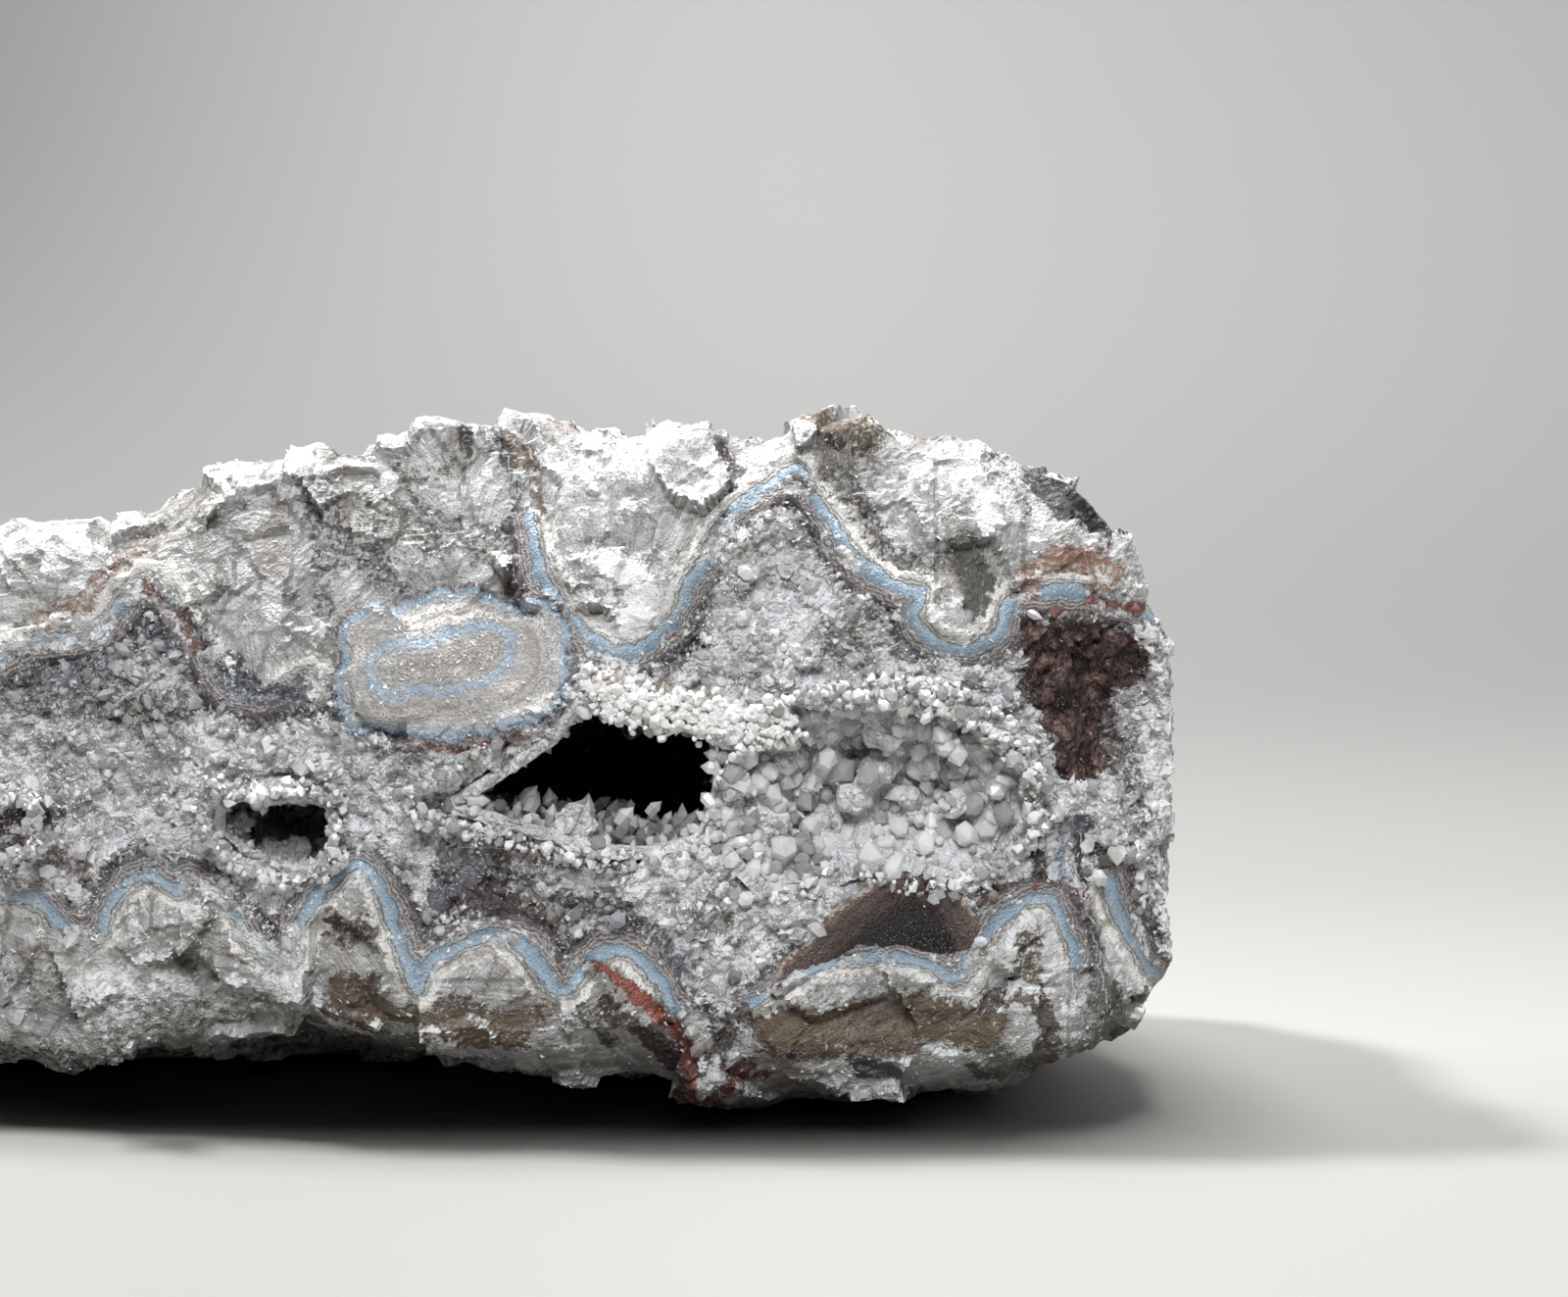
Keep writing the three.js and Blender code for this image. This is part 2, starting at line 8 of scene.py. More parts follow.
import bmesh
import bpy
import numpy as np
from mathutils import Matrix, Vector


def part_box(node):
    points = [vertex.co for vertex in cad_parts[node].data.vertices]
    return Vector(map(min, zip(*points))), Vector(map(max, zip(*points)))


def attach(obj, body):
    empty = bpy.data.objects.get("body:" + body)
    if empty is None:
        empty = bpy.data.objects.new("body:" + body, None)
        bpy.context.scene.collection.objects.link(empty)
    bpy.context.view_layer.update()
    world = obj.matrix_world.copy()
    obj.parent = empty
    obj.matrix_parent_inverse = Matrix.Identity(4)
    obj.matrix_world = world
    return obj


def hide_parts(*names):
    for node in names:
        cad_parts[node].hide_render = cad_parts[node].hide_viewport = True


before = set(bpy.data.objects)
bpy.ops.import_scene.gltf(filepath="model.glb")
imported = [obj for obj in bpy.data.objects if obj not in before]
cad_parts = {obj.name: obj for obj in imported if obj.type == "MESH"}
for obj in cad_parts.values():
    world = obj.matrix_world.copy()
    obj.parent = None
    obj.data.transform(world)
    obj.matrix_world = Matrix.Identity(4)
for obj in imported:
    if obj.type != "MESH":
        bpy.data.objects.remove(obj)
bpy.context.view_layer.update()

MM = 0.001
PICTURE = (1600, 1323)
MM_PER_PIXEL = 0.1
LENS = 85.0
SENSOR = 36.0
ELEVATION = math.radians(8.0)

STONE_LOW, STONE_HIGH = (np.array(corner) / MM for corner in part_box("agate_stone"))
RIGHT_END_PIXEL = 1213  # the pixel column of the stone's right end
FOOT_PIXEL = 1158  # the pixel row of the stone's lowest point
FACE_Y = STONE_LOW[1] + 1.5  # the general plane of the broken face


# Camera

def camera_place():
    """The camera's place and its forward and upward directions, in millimetres."""
    distance = PICTURE[0] * MM_PER_PIXEL / SENSOR * LENS
    forward = np.array([0.0, math.cos(ELEVATION), -math.sin(ELEVATION)])
    upward = np.array([0.0, math.sin(ELEVATION), math.cos(ELEVATION)])
    below_middle = (FOOT_PIXEL - PICTURE[1] / 2) * MM_PER_PIXEL
    height = below_middle / (upward[2] - below_middle * -forward[2] / distance)
    across = STONE_HIGH[0] - (RIGHT_END_PIXEL - PICTURE[0] / 2) * MM_PER_PIXEL
    target = np.array([across, FACE_Y, height])
    return target - forward * distance, forward, upward


CAMERA, FORWARD, UPWARD = camera_place()


def make_camera():
    data = bpy.data.cameras.new("camera")
    data.lens = LENS
    data.sensor_width = SENSOR
    data.clip_start = 0.01
    data.clip_end = 10.0
    camera = bpy.data.objects.new("camera", data)
    bpy.context.collection.objects.link(camera)
    camera.location = Vector(CAMERA * MM)
    camera.rotation_euler = (math.pi / 2 - ELEVATION, 0, 0)
    bpy.context.scene.camera = camera


def pixels_of(places):
    """Where places in millimetres are seen in the picture, as pixel columns and rows."""
    offset = places - CAMERA
    depth = offset @ FORWARD
    scale = PICTURE[0] * LENS / SENSOR / depth
    return PICTURE[0] / 2 + offset[:, 0] * scale, PICTURE[1] / 2 - (offset @ UPWARD) * scale


def places_at(columns, rows, y):
    """The places in millimetres, on upright planes at y, that are seen at pixel columns and rows."""
    scale = PICTURE[0] * LENS / SENSOR
    right = np.array([1.0, 0.0, 0.0])
    across = (np.asarray(columns, dtype=float) - PICTURE[0] / 2) / scale
    up = (PICTURE[1] / 2 - np.asarray(rows, dtype=float)) / scale
    rays = FORWARD + across[:, None] * right + up[:, None] * UPWARD
    return CAMERA + rays * ((y - CAMERA[1]) / rays[:, 1])[:, None]


# Repeatable noise on arrays of places

def chance(cells, seed):
    """A number from 0 to 1 for each row of three whole numbers."""
    mixed = np.full(len(cells), (seed * 374761393 + 668265263) & 0xFFFFFFFF, dtype=np.uint64)
    for column, factor in zip(cells.astype(np.int64).T, (2654435761, 2246822519, 3266489917)):
        mixed ^= (column.astype(np.uint64) * np.uint64(factor)) & np.uint64(0xFFFFFFFF)
        mixed = (mixed ^ (mixed >> np.uint64(15))) * np.uint64(2246822519) & np.uint64(0xFFFFFFFF)
        mixed = (mixed ^ (mixed >> np.uint64(13))) * np.uint64(3266489917) & np.uint64(0xFFFFFFFF)
        mixed ^= mixed >> np.uint64(16)
    return mixed.astype(float) / 0xFFFFFFFF


def soft_noise(places, size, seed):
    """Smooth noise from -1 to 1 with features of the size given."""
    scaled = places / size
    base = np.floor(scaled)
    part = scaled - base
    part = part * part * (3 - 2 * part)
    total = np.zeros(len(places))
    for corner in np.ndindex(2, 2, 2):
        weight = np.prod(np.where(corner, part, 1 - part), axis=1)
        total += weight * chance(base + corner, seed)
    return total * 2 - 1


def rough_noise(places, size, seed, layers=3):
    """Soft noise with finer layers added to it."""
    total = np.zeros(len(places))
    for layer in range(layers):
        total += soft_noise(places, size / 2 ** layer, seed + layer) / 2 ** layer
    return total / 1.6


def nearest_cells(places, size, seed):
    """The jittered cell that each place is in: its whole-number address, the offset from its middle, and how far
    the place is from the cell's edge, as a share of the size."""
    scaled = places / size
    base = np.floor(scaled)
    best = np.full(len(places), np.inf)
    second = np.full(len(places), np.inf)
    address = np.zeros_like(scaled)
    offset = np.zeros_like(scaled)
    for step in np.ndindex(3, 3, 3):
        cell = base + np.array(step) - 1
        middle = cell + np.stack([chance(cell, seed + 100 + axis) for axis in range(3)], axis=1)
        away = scaled - middle
        distance = np.sum(away * away, axis=1)
        closer = distance < best
        second = np.where(closer, best, np.minimum(second, distance))
        best = np.where(closer, distance, best)
        address[closer] = cell[closer]
        offset[closer] = away[closer]
    return address, offset * size, np.sqrt(second) - np.sqrt(best)


def facets(places, size, step, slope, seed):
    """The height of flat facets of the size given, each at its own level and slope, and each facet's own number."""
    address, offset, _ = nearest_cells(places, size, seed)
    level = (chance(address, seed + 1) - 0.5) * 2 * step
    tilt = np.stack([(chance(address, seed + 2 + axis) - 0.5) * 2 * slope for axis in range(3)], axis=1)
    return level + np.sum(tilt * offset, axis=1), chance(address, seed + 7)


# Lines and patches on the face

def smooth_line(corners, step=6.0):
    """A smooth line through corners, as points a few pixels apart."""
    points = np.array(corners, dtype=float)
    padded = np.vstack([2 * points[0] - points[1], points, 2 * points[-1] - points[-2]])
    line = []
    for before, start, end, after in zip(padded, padded[1:], padded[2:], padded[3:]):
        count = max(2, int(np.hypot(*(end - start)) / step))
        share = np.arange(count)[:, None] / count
        line.append(0.5 * (2 * start + (end - before) * share
                           + (2 * before - 5 * start + 4 * end - after) * share ** 2
                           + (3 * start - before - 3 * end + after) * share ** 3))
    return np.vstack([*line, points[-1:]])


def distance_to_line(across, down, line):
    """For each place the distance to a line, which side of the line it is on (1 is above a line that runs to the
    right), how far along the line the nearest point lies, and whether that point is one of its ends."""
    best = np.full(len(across), np.inf)
    side = np.ones(len(across))
    along = np.zeros(len(across))
    travelled = 0.0
    for (ax, ay), (bx, by) in zip(line, line[1:]):
        dx, dy = bx - ax, by - ay
        length = math.hypot(dx, dy)
        if length == 0:
            continue
        share = np.clip(((across - ax) * dx + (down - ay) * dy) / length ** 2, 0, 1)
        distance = np.hypot(across - ax - share * dx, down - ay - share * dy)
        closer = distance < best
        best = np.where(closer, distance, best)
        turn = dx * (down - ay) - dy * (across - ax)
        side = np.where(closer, np.where(turn < 0, 1.0, -1.0), side)
        along = np.where(closer, travelled + share * length, along)
        travelled += length
    at_end = (along <= 1e-6) | (along >= travelled - 1e-6)
    return best, side, along, at_end


def inside_outline(across, down, corners):
    """Whether each place is inside a closed outline."""
    inside = np.zeros(len(across), dtype=bool)
    for (ax, ay), (bx, by) in zip(corners, corners[1:] + corners[:1]):
        if ay == by:
            continue
        spans = (ay > down) != (by > down)
        crossing = ax + (down - ay) * (bx - ax) / (by - ay)
        inside ^= spans & (across < crossing)
    return inside


def fade(near, far, value):
    """Falls smoothly from 1 at near to 0 at far."""
    share = np.clip((value - near) / (far - near), 0, 1)
    return 1 - share * share * (3 - 2 * share)


# The middle of each chalcedony band, from left to right. Those left of pixel 0 are past the photograph's edge.
UPPER_BAND_LEFT = [
    (-470, 700), (-400, 640), (-340, 620), (-280, 690), (-220, 700), (-160, 620), (-110, 600), (-60, 660), (0, 665),
    (30, 655), (60, 650), (105, 640), (130, 602), (150, 590), (175, 610), (200, 650), (225, 690), (262, 712),
    (300, 692), (338, 700),
]
UPPER_BAND_RIGHT = [
    (536, 520), (545, 545), (560, 590), (588, 640), (630, 665), (680, 640), (700, 608), (718, 572), (738, 528),
    (790, 490), (815, 477), (832, 505), (858, 548), (890, 585), (925, 603), (940, 604), (938, 628), (948, 650),
    (985, 662), (1020, 646), (1040, 606), (1085, 603), (1130, 608), (1172, 632), (1230, 660),
]
LOWER_BAND_LEFT = [
    (-470, 900), (-400, 960), (-340, 980), (-280, 920), (-220, 900), (-160, 960), (-100, 985), (-50, 930),
    (-10, 915), (40, 925), (75, 960), (100, 950), (120, 912), (148, 890), (178, 905), (202, 902), (235, 932),
    (262, 968), (290, 978), (312, 938), (340, 897), (370, 886), (395, 920), (414, 972), (428, 1008), (442, 978),
    (480, 957), (530, 962), (570, 1008), (590, 1000), (610, 970), (636, 966), (668, 1000), (700, 1050), (716, 1100),
]
LOWER_BAND_RIGHT = [
    (760, 1030), (800, 1006), (850, 985), (920, 976), (975, 1000), (996, 965), (1028, 928), (1060, 922), (1085, 935),
    (1098, 990),
]
RIGHT_COLUMN_BAND = [(1128, 895), (1145, 925), (1160, 962), (1182, 995), (1215, 1016)]
EYE_RING = [
    (342, 700), (344, 655), (362, 628), (420, 612), (470, 604), (530, 612), (562, 622), (578, 655), (576, 700),
    (545, 732), (480, 750), (400, 750), (356, 738), (342, 700),
]
EYE_CORE = [
    (373, 682), (390, 666), (430, 656), (470, 646), (500, 638), (518, 650), (514, 674), (480, 700), (430, 705),
    (389, 706), (373, 682),
]
# The quartz between the two bands: its outline runs along them and round the eye.
QUARTZ_OUTLINE = (
    UPPER_BAND_LEFT + [(356, 740), (400, 760), (480, 762), (545, 742), (584, 700), (600, 672)]
    + UPPER_BAND_RIGHT[4:] + [(1260, 700), (1260, 900)] + [(1190, 960), (1110, 900), (1060, 912)]
    + LOWER_BAND_RIGHT[4::-1] + [(740, 1040)] + LOWER_BAND_LEFT[::-1]
)
WEDGE_EDGE = [(784, 1006), (812, 968), (850, 932), (895, 896), (929, 880), (960, 892), (985, 920), (998, 942)]
BROWN_WEDGE = WEDGE_EDGE + [(985, 966), (950, 972), (910, 962), (880, 966), (830, 986)]

BROWN_PIT = [
    (1044, 622), (1075, 634), (1112, 626), (1146, 640), (1170, 668), (1166, 700), (1140, 716), (1132, 744),
    (1130, 786), (1100, 800), (1074, 790), (1068, 752), (1052, 716), (1042, 670),
]

# Tints, as the red, green and blue that the eye sees
TINTS = {
    "chalk": (0.93, 0.92, 0.90),
    "cream": (0.86, 0.82, 0.76),
    "smoke": (0.30, 0.29, 0.28),
    "shade": (0.43, 0.42, 0.40),
    "umber": (0.36, 0.27, 0.22),
    "bark": (0.24, 0.16, 0.14),
    "ink": (0.09, 0.07, 0.07),
    "rust": (0.50, 0.22, 0.15),
    "brick": (0.62, 0.36, 0.31),
    "peach": (0.78, 0.63, 0.55),
    "slate": (0.36, 0.38, 0.42),
    "glassy": (0.56, 0.56, 0.52),
    "tan": (0.62, 0.54, 0.44),
    "gold": (0.46, 0.38, 0.28),
    "orange": (0.66, 0.30, 0.17),
    "taupe": (0.47, 0.40, 0.37),
    "blue": (0.62, 0.70, 0.77),
}

# Patches of a tint on the face: the tint, the line that it follows, its half-width in pixels and its strength.
PATCHES = [
    ("cream", [(585, 690), (640, 700), (720, 716)], 20, 0.9),
    ("cream", [(150, 500), (220, 500)], 14, 0.5),
    ("smoke", [(330, 500), (345, 560), (390, 580)], 22, 0.55),
    ("smoke", [(380, 560), (440, 585)], 14, 0.4),
    ("ink", [(528, 590), (552, 592)], 13, 0.95),
    ("umber", [(515, 600), (545, 570)], 12, 0.7),
    ("ink", [(188, 616), (205, 660)], 8, 0.9),
    ("umber", [(200, 612), (216, 650)], 9, 0.6),
    ("smoke", [(30, 670), (90, 672), (140, 650)], 13, 0.7),
    ("shade", [(20, 700), (100, 720), (180, 720)], 30, 0.7),
    ("smoke", [(215, 700), (262, 738), (300, 720)], 15, 0.8),
    ("bark", [(475, 430), (480, 465)], 9, 0.8),
    ("bark", [(512, 436), (520, 470)], 10, 0.8),
    ("tan", [(530, 440), (545, 470)], 14, 0.7),
    ("tan", [(548, 490), (552, 530)], 8, 0.7),
    ("bark", [(672, 432), (710, 428)], 9, 0.9),
    ("bark", [(738, 452), (752, 470)], 14, 0.9),
    ("tan", [(640, 520), (690, 560)], 10, 0.4),
    ("bark", [(838, 424), (856, 446)], 12, 0.8),
    ("tan", [(828, 420), (880, 428), (905, 440)], 16, 0.7),
    ("umber", [(885, 452), (915, 440)], 12, 0.7),
    ("smoke", [(745, 500), (770, 482)], 6, 0.6),
    ("shade", [(860, 490), (900, 560), (940, 580)], 22, 0.6),
    ("shade", [(980, 560), (1010, 620)], 24, 0.85),
    ("smoke", [(1060, 480), (1100, 520), (1120, 540)], 22, 0.85),
    ("shade", [(1020, 440), (1060, 460)], 14, 0.6),
    ("slate", [(1010, 470), (1050, 520)], 10, 0.5),
    ("peach", [(1048, 590), (1090, 572), (1130, 588)], 18, 0.85),
    ("brick", [(1075, 560), (1120, 570)], 10, 0.6),
    ("rust", [(1058, 612), (1090, 622), (1118, 612), (1160, 618)], 7, 0.95),
    ("rust", [(1150, 625), (1180, 660)], 6, 0.7),
    ("bark", [(1056, 650), (1100, 648), (1150, 690)], 24, 1.0),
    ("bark", [(1060, 690), (1100, 710), (1120, 740)], 26, 1.0),
    ("umber", [(1120, 660), (1160, 680), (1140, 700)], 20, 0.8),
    ("ink", [(1046, 640), (1052, 700)], 5, 0.9),
    ("ink", [(1120, 736), (1122, 750)], 7, 0.9),
    ("umber", [(1080, 750), (1110, 770), (1140, 770)], 18, 0.8),
    ("shade", [(1150, 760), (1170, 830)], 18, 0.6),
    ("peach", [(40, 632), (84, 612), (120, 590), (142, 566)], 24, 0.6),
    ("brick", [(100, 588), (116, 568)], 10, 0.4),
    ("peach", [(0, 640), (30, 634)], 10, 0.5),
    ("brick", [(410, 762), (470, 766), (530, 750)], 9, 0.7),
    ("rust", [(455, 758), (490, 762)], 6, 0.8),
    ("peach", [(420, 722), (470, 726)], 8, 0.5),
    ("shade", [(460, 880), (540, 862), (640, 870)], 24, 0.8),
    ("umber", [(520, 866), (600, 880), (680, 868)], 15, 0.7),
    ("bark", [(452, 912), (480, 900), (520, 925)], 20, 1.0),
    ("umber", [(540, 930), (580, 950)], 12, 0.8),
    ("bark", [(600, 915), (640, 925)], 8, 0.5),
    ("orange", [(608, 982), (640, 998), (668, 1030), (690, 1062)], 9, 1.0),
    ("rust", [(690, 1062), (702, 1080), (710, 1116)], 11, 1.0),
    ("bark", [(622, 1020), (650, 1045), (680, 1080), (694, 1100)], 15, 0.9),
    ("rust", [(715, 1125), (760, 1098)], 12, 0.8),
    ("umber", [(720, 1070), (760, 1050)], 14, 0.7),
    ("rust", [(730, 1110), (780, 1108)], 7, 0.7),
    ("bark", [(640, 1040), (668, 1070), (690, 1100)], 14, 0.9),
    ("umber", [(330, 940), (352, 960), (380, 950)], 18, 0.7),
    ("umber", [(440, 1020), (500, 1040), (550, 1044)], 16, 0.7),
    ("shade", [(590, 1020), (620, 1060)], 16, 0.7),
    ("gold", [(790, 1060), (860, 1050), (930, 1040), (1000, 1050)], 34, 0.95),
    ("umber", [(800, 1084), (860, 1072), (930, 1076)], 12, 0.85),
    ("bark", [(872, 1046), (920, 1030), (980, 1036)], 8, 0.7),
    ("umber", [(1010, 1020), (1046, 1012), (1070, 1040), (1066, 1080)], 16, 0.9),
    ("ink", [(882, 1090), (910, 1094)], 11, 1.0),
    ("ink", [(1050, 1070), (1056, 1076)], 7, 1.0),
    ("gold", [(1030, 940), (1050, 960), (1040, 1000)], 20, 0.7),
    ("shade", [(1000, 1100), (1040, 1092)], 14, 0.8),
    ("gold", [(350, 1010), (380, 1040), (450, 1045), (530, 1050)], 20, 0.85),
    ("umber", [(334, 1030), (370, 1030), (384, 1000)], 10, 0.8),
    ("glassy", [(1020, 1080), (1080, 1100), (1150, 1040)], 20, 0.8),
    ("shade", [(1120, 960), (1130, 1040)], 12, 0.8),
    ("bark", [(1058, 850), (1062, 900)], 9, 1.0),
    ("blue", [(1078, 848), (1088, 900)], 8, 0.8),
    ("bark", [(1100, 846), (1108, 900)], 8, 0.95),
    ("slate", [(1060, 838), (1110, 842)], 8, 0.9),
    ("rust", [(1006, 920), (1040, 906), (1096, 908), (1150, 908)], 8, 1.0),
    ("ink", [(1122, 866), (1140, 880)], 9, 0.9),
    ("bark", [(1150, 892), (1172, 930), (1190, 980)], 11, 0.9),
    ("rust", [(1128, 890), (1150, 896)], 7, 0.8),
    ("slate", [(1108, 930), (1112, 980)], 12, 0.6),
    ("shade", [(1130, 1020), (1150, 1060)], 22, 0.8),
    ("slate", [(318, 490), (326, 560), (330, 620)], 15, 0.55),
    ("slate", [(345, 560), (380, 580), (420, 600)], 12, 0.5),
    ("slate", [(235, 680), (262, 712), (300, 706)], 20, 0.8),
    ("slate", [(150, 640), (190, 672), (230, 716)], 20, 0.7),
    ("slate", [(0, 690), (60, 684), (120, 690)], 16, 0.75),
    ("slate", [(380, 770), (420, 756)], 9, 0.7),
    ("brick", [(150, 600), (180, 618), (196, 660)], 9, 0.7),
    ("umber", [(0, 868), (50, 872), (84, 892)], 12, 0.8),
    ("slate", [(100, 900), (130, 886), (200, 884)], 10, 0.7),
    ("slate", [(330, 884), (372, 874), (410, 904), (424, 960)], 11, 0.85),
    ("slate", [(436, 940), (448, 905), (480, 888), (540, 900)], 9, 0.8),
    ("slate", [(570, 920), (620, 925), (670, 950), (700, 990)], 12, 0.7),
    ("glassy", [(380, 520), (440, 540), (500, 560)], 30, 0.6),
    ("smoke", [(400, 470), (420, 500), (436, 530)], 12, 0.6),
    ("tan", [(410, 480), (470, 470)], 14, 0.5),
    ("glassy", [(20, 1000), (120, 1040), (260, 1030)], 26, 0.5),
    ("glassy", [(300, 1060), (420, 1080), (560, 1110)], 18, 0.8),
    ("shade", [(0, 1070), (80, 1080), (160, 1070)], 20, 0.6),
    ("umber", [(0, 880), (40, 878)], 10, 0.8),
    ("bark", [(0, 840), (22, 838)], 16, 0.9),
]


# Where white powder lies thick: the line that it follows, its half-width in pixels and how thick it is. A negative
# thickness is where there is little.
POWDER = [
    ([(575, 450), (620, 452), (668, 440)], 34, 1.0),
    ([(570, 500), (640, 500), (700, 470)], 26, 0.45),
    ([(290, 462), (360, 448), (440, 418), (530, 424)], 20, 0.35),
    ([(150, 510), (230, 484), (300, 460)], 20, 0.25),
    ([(0, 556), (60, 536), (110, 522)], 24, 0.15),
    ([(60, 560), (100, 545), (130, 530)], 16, 0.5),
    ([(1176, 660), (1194, 740), (1200, 850), (1200, 960)], 26, 0.75),
    ([(900, 540), (930, 500), (990, 470)], 34, 0.6),
    ([(880, 560), (860, 520), (900, 480)], 16, 0.35),
    ([(1004, 484), (1012, 540)], 13, 0.8),
    ([(612, 566), (650, 596)], 22, 0.75),
    ([(590, 590), (640, 640), (690, 590)], 12, 0.3),
    ([(690, 545), (650, 575)], 16, 0.35),
    ([(755, 430), (800, 440)], 18, 0.5),
    ([(900, 430), (960, 425), (1030, 440)], 16, 0.55),
    ([(760, 560), (800, 620), (860, 650), (900, 640)], 34, 0.35),
    ([(730, 640), (800, 680), (880, 690)], 26, 0.4),
    ([(940, 690), (1020, 720), (1040, 790)], 30, 0.45),
    ([(620, 690), (700, 712), (780, 720)], 22, 0.6),
    ([(60, 760), (180, 800), (280, 770)], 40, 0.12),
    ([(640, 880), (700, 930), (760, 960)], 36, 0.5),
    ([(700, 900), (760, 880), (800, 920)], 26, 0.4),
    ([(560, 880), (600, 900)], 18, 0.3),
    ([(480, 790), (420, 830), (330, 860)], 26, 0.35),
    ([(370, 900), (400, 950)], 14, 0.4),
    ([(60, 1000), (110, 1010), (180, 990)], 22, 0.5),
    ([(240, 1010), (330, 1040), (440, 1060)], 16, 0.5),
    ([(1080, 990), (1090, 1040)], 12, 0.6),
    ([(1000, 1030), (1050, 1000), (1080, 1020)], 10, 0.6),
    ([(800, 1140), (900, 1130), (1000, 1120)], 14, 0.4),
    ([(40, 720), (110, 740), (180, 720)], 34, -0.25),
    ([(330, 500), (345, 560), (390, 580)], 24, -0.4),
    ([(380, 520), (470, 560), (520, 580)], 26, -0.2),
    ([(1060, 650), (1110, 680), (1120, 740)], 44, -0.7),
    ([(440, 850), (540, 860), (660, 868)], 20, -0.3),
    ([(790, 1050), (880, 1050), (1000, 1050)], 30, -0.25),
    ([(452, 912), (500, 905)], 24, -0.5),
    ([(640, 1040), (690, 1100)], 20, -0.3),
    ([(1000, 560), (1010, 620)], 20, -0.2),
    ([(20, 1060), (300, 1080), (560, 1115)], 26, -0.3),
    ([(602, 984), (640, 1006), (668, 1036), (690, 1066)], 12, -0.8),
]

# Where sugary quartz or powder hides a band: the line that it follows, its half-width in pixels and how fully.
VEILS = [
    ([(-120, 600), (-60, 660), (-20, 668)], 24, 0.8),
    ([(-420, 650), (-340, 620)], 24, 0.7),
    ([(136, 604), (152, 592), (164, 598)], 10, 0.9),
    ([(214, 674), (226, 688)], 7, 0.9),
    ([(262, 712), (282, 706)], 12, 0.8),
    ([(322, 692), (338, 700)], 10, 0.6),
    ([(60, 962), (88, 960)], 16, 0.8),
    ([(-30, 920), (0, 912)], 12, 0.5),
    ([(200, 904), (228, 924)], 12, 0.75),
    ([(244, 950), (256, 962)], 10, 0.7),
    ([(296, 970), (306, 948)], 9, 0.7),
    ([(-300, 930), (-230, 900)], 20, 0.8),
    ([(500, 958), (520, 962)], 8, 0.6),
    ([(726, 556), (742, 534)], 10, 0.9),
    ([(806, 494), (822, 492)], 9, 0.9),
    ([(860, 560), (872, 574)], 7, 0.7),
    ([(560, 610), (572, 632)], 5, 0.7),
    ([(1040, 604), (1056, 603)], 10, 0.8),
    ([(1120, 606), (1150, 616)], 14, 0.6),
    ([(790, 1012), (812, 1000)], 9, 0.8),
    ([(858, 984), (872, 980)], 6, 0.7),
    ([(990, 985), (1000, 962)], 8, 0.7),
    ([(700, 1052), (716, 1100)], 20, 0.8),
    ([(384, 640), (420, 626), (470, 620)], 12, 0.5),
    ([(352, 742), (400, 756)], 8, 0.6),
    ([(10, 662), (60, 650)], 14, 0.5),
    ([(80, 646), (110, 636)], 10, 0.6),
    ([(180, 620), (216, 672)], 13, 0.55),
    ([(240, 700), (330, 700)], 14, 0.6),
    ([(130, 905), (150, 890)], 10, 0.35),
    ([(262, 968), (290, 978)], 16, 0.4),
    ([(560, 640), (576, 690)], 5, 0.3),
    ([(602, 984), (640, 1006), (668, 1036), (690, 1066)], 9, 0.9),
]


def link_piece(name, mesh, materials):
    piece = bpy.data.objects.new(name, mesh)
    bpy.context.collection.objects.link(piece)
    for material in materials:
        mesh.materials.append(material)
    return piece


def node_copy(node, voxel, rounds=0):
    """A CAD node's form as one closed, evenly divided mesh, with its edges softened in rounds."""
    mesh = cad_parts[node].data.copy()
    form = bmesh.new()
    form.from_mesh(mesh)
    bmesh.ops.remove_doubles(form, verts=form.verts, dist=1e-6)
    form.to_mesh(mesh)
    form.free()
    piece = bpy.data.objects.new(node + "_form", mesh)
    bpy.context.collection.objects.link(piece)
    remesh = piece.modifiers.new("even", "REMESH")
    remesh.mode = "VOXEL"
    remesh.voxel_size = voxel * MM
    piece.data.materials.clear()
    graph = bpy.context.evaluated_depsgraph_get()
    even = bpy.data.meshes.new_from_object(piece.evaluated_get(graph))
    bpy.data.objects.remove(piece)
    form = bmesh.new()
    form.from_mesh(even)
    free = [vertex for vertex in form.verts if vertex.co.z > 1.5 * MM]
    for _ in range(rounds):
        bmesh.ops.smooth_vert(form, verts=free, factor=0.5, use_axis_x=True, use_axis_y=True, use_axis_z=True)
    form.to_mesh(even)
    form.free()
    return even


def places_of(mesh):
    places = np.empty(len(mesh.vertices) * 3, dtype=np.float32)
    mesh.vertices.foreach_get("co", places)
    return places.reshape(-1, 3).astype(float) / MM


def normals_of(mesh):
    normals = np.empty(len(mesh.vertices) * 3, dtype=np.float32)
    mesh.vertex_normals.foreach_get("vector", normals)
    return normals.reshape(-1, 3).astype(float)


def set_places(mesh, places):
    mesh.vertices.foreach_set("co", (places * MM).astype(np.float32).ravel())
    mesh.update()


def set_values(mesh, name, values):
    kinds = {1: ("FLOAT", "value"), 3: ("FLOAT_VECTOR", "vector"), 4: ("FLOAT_COLOR", "color")}
    width = 1 if values.ndim == 1 else values.shape[1]
    kind, field = kinds[width]
    attribute = mesh.attributes.new(name, kind, "POINT")
    attribute.data.foreach_set(field, values.astype(np.float32).ravel())


def linear(colour):
    """Red, green and blue as light, from red, green and blue as seen."""
    return tuple(((part + 0.055) / 1.055) ** 2.4 if part > 0.04045 else part / 12.92 for part in colour)


# The stone's form and the values that its finish is painted from

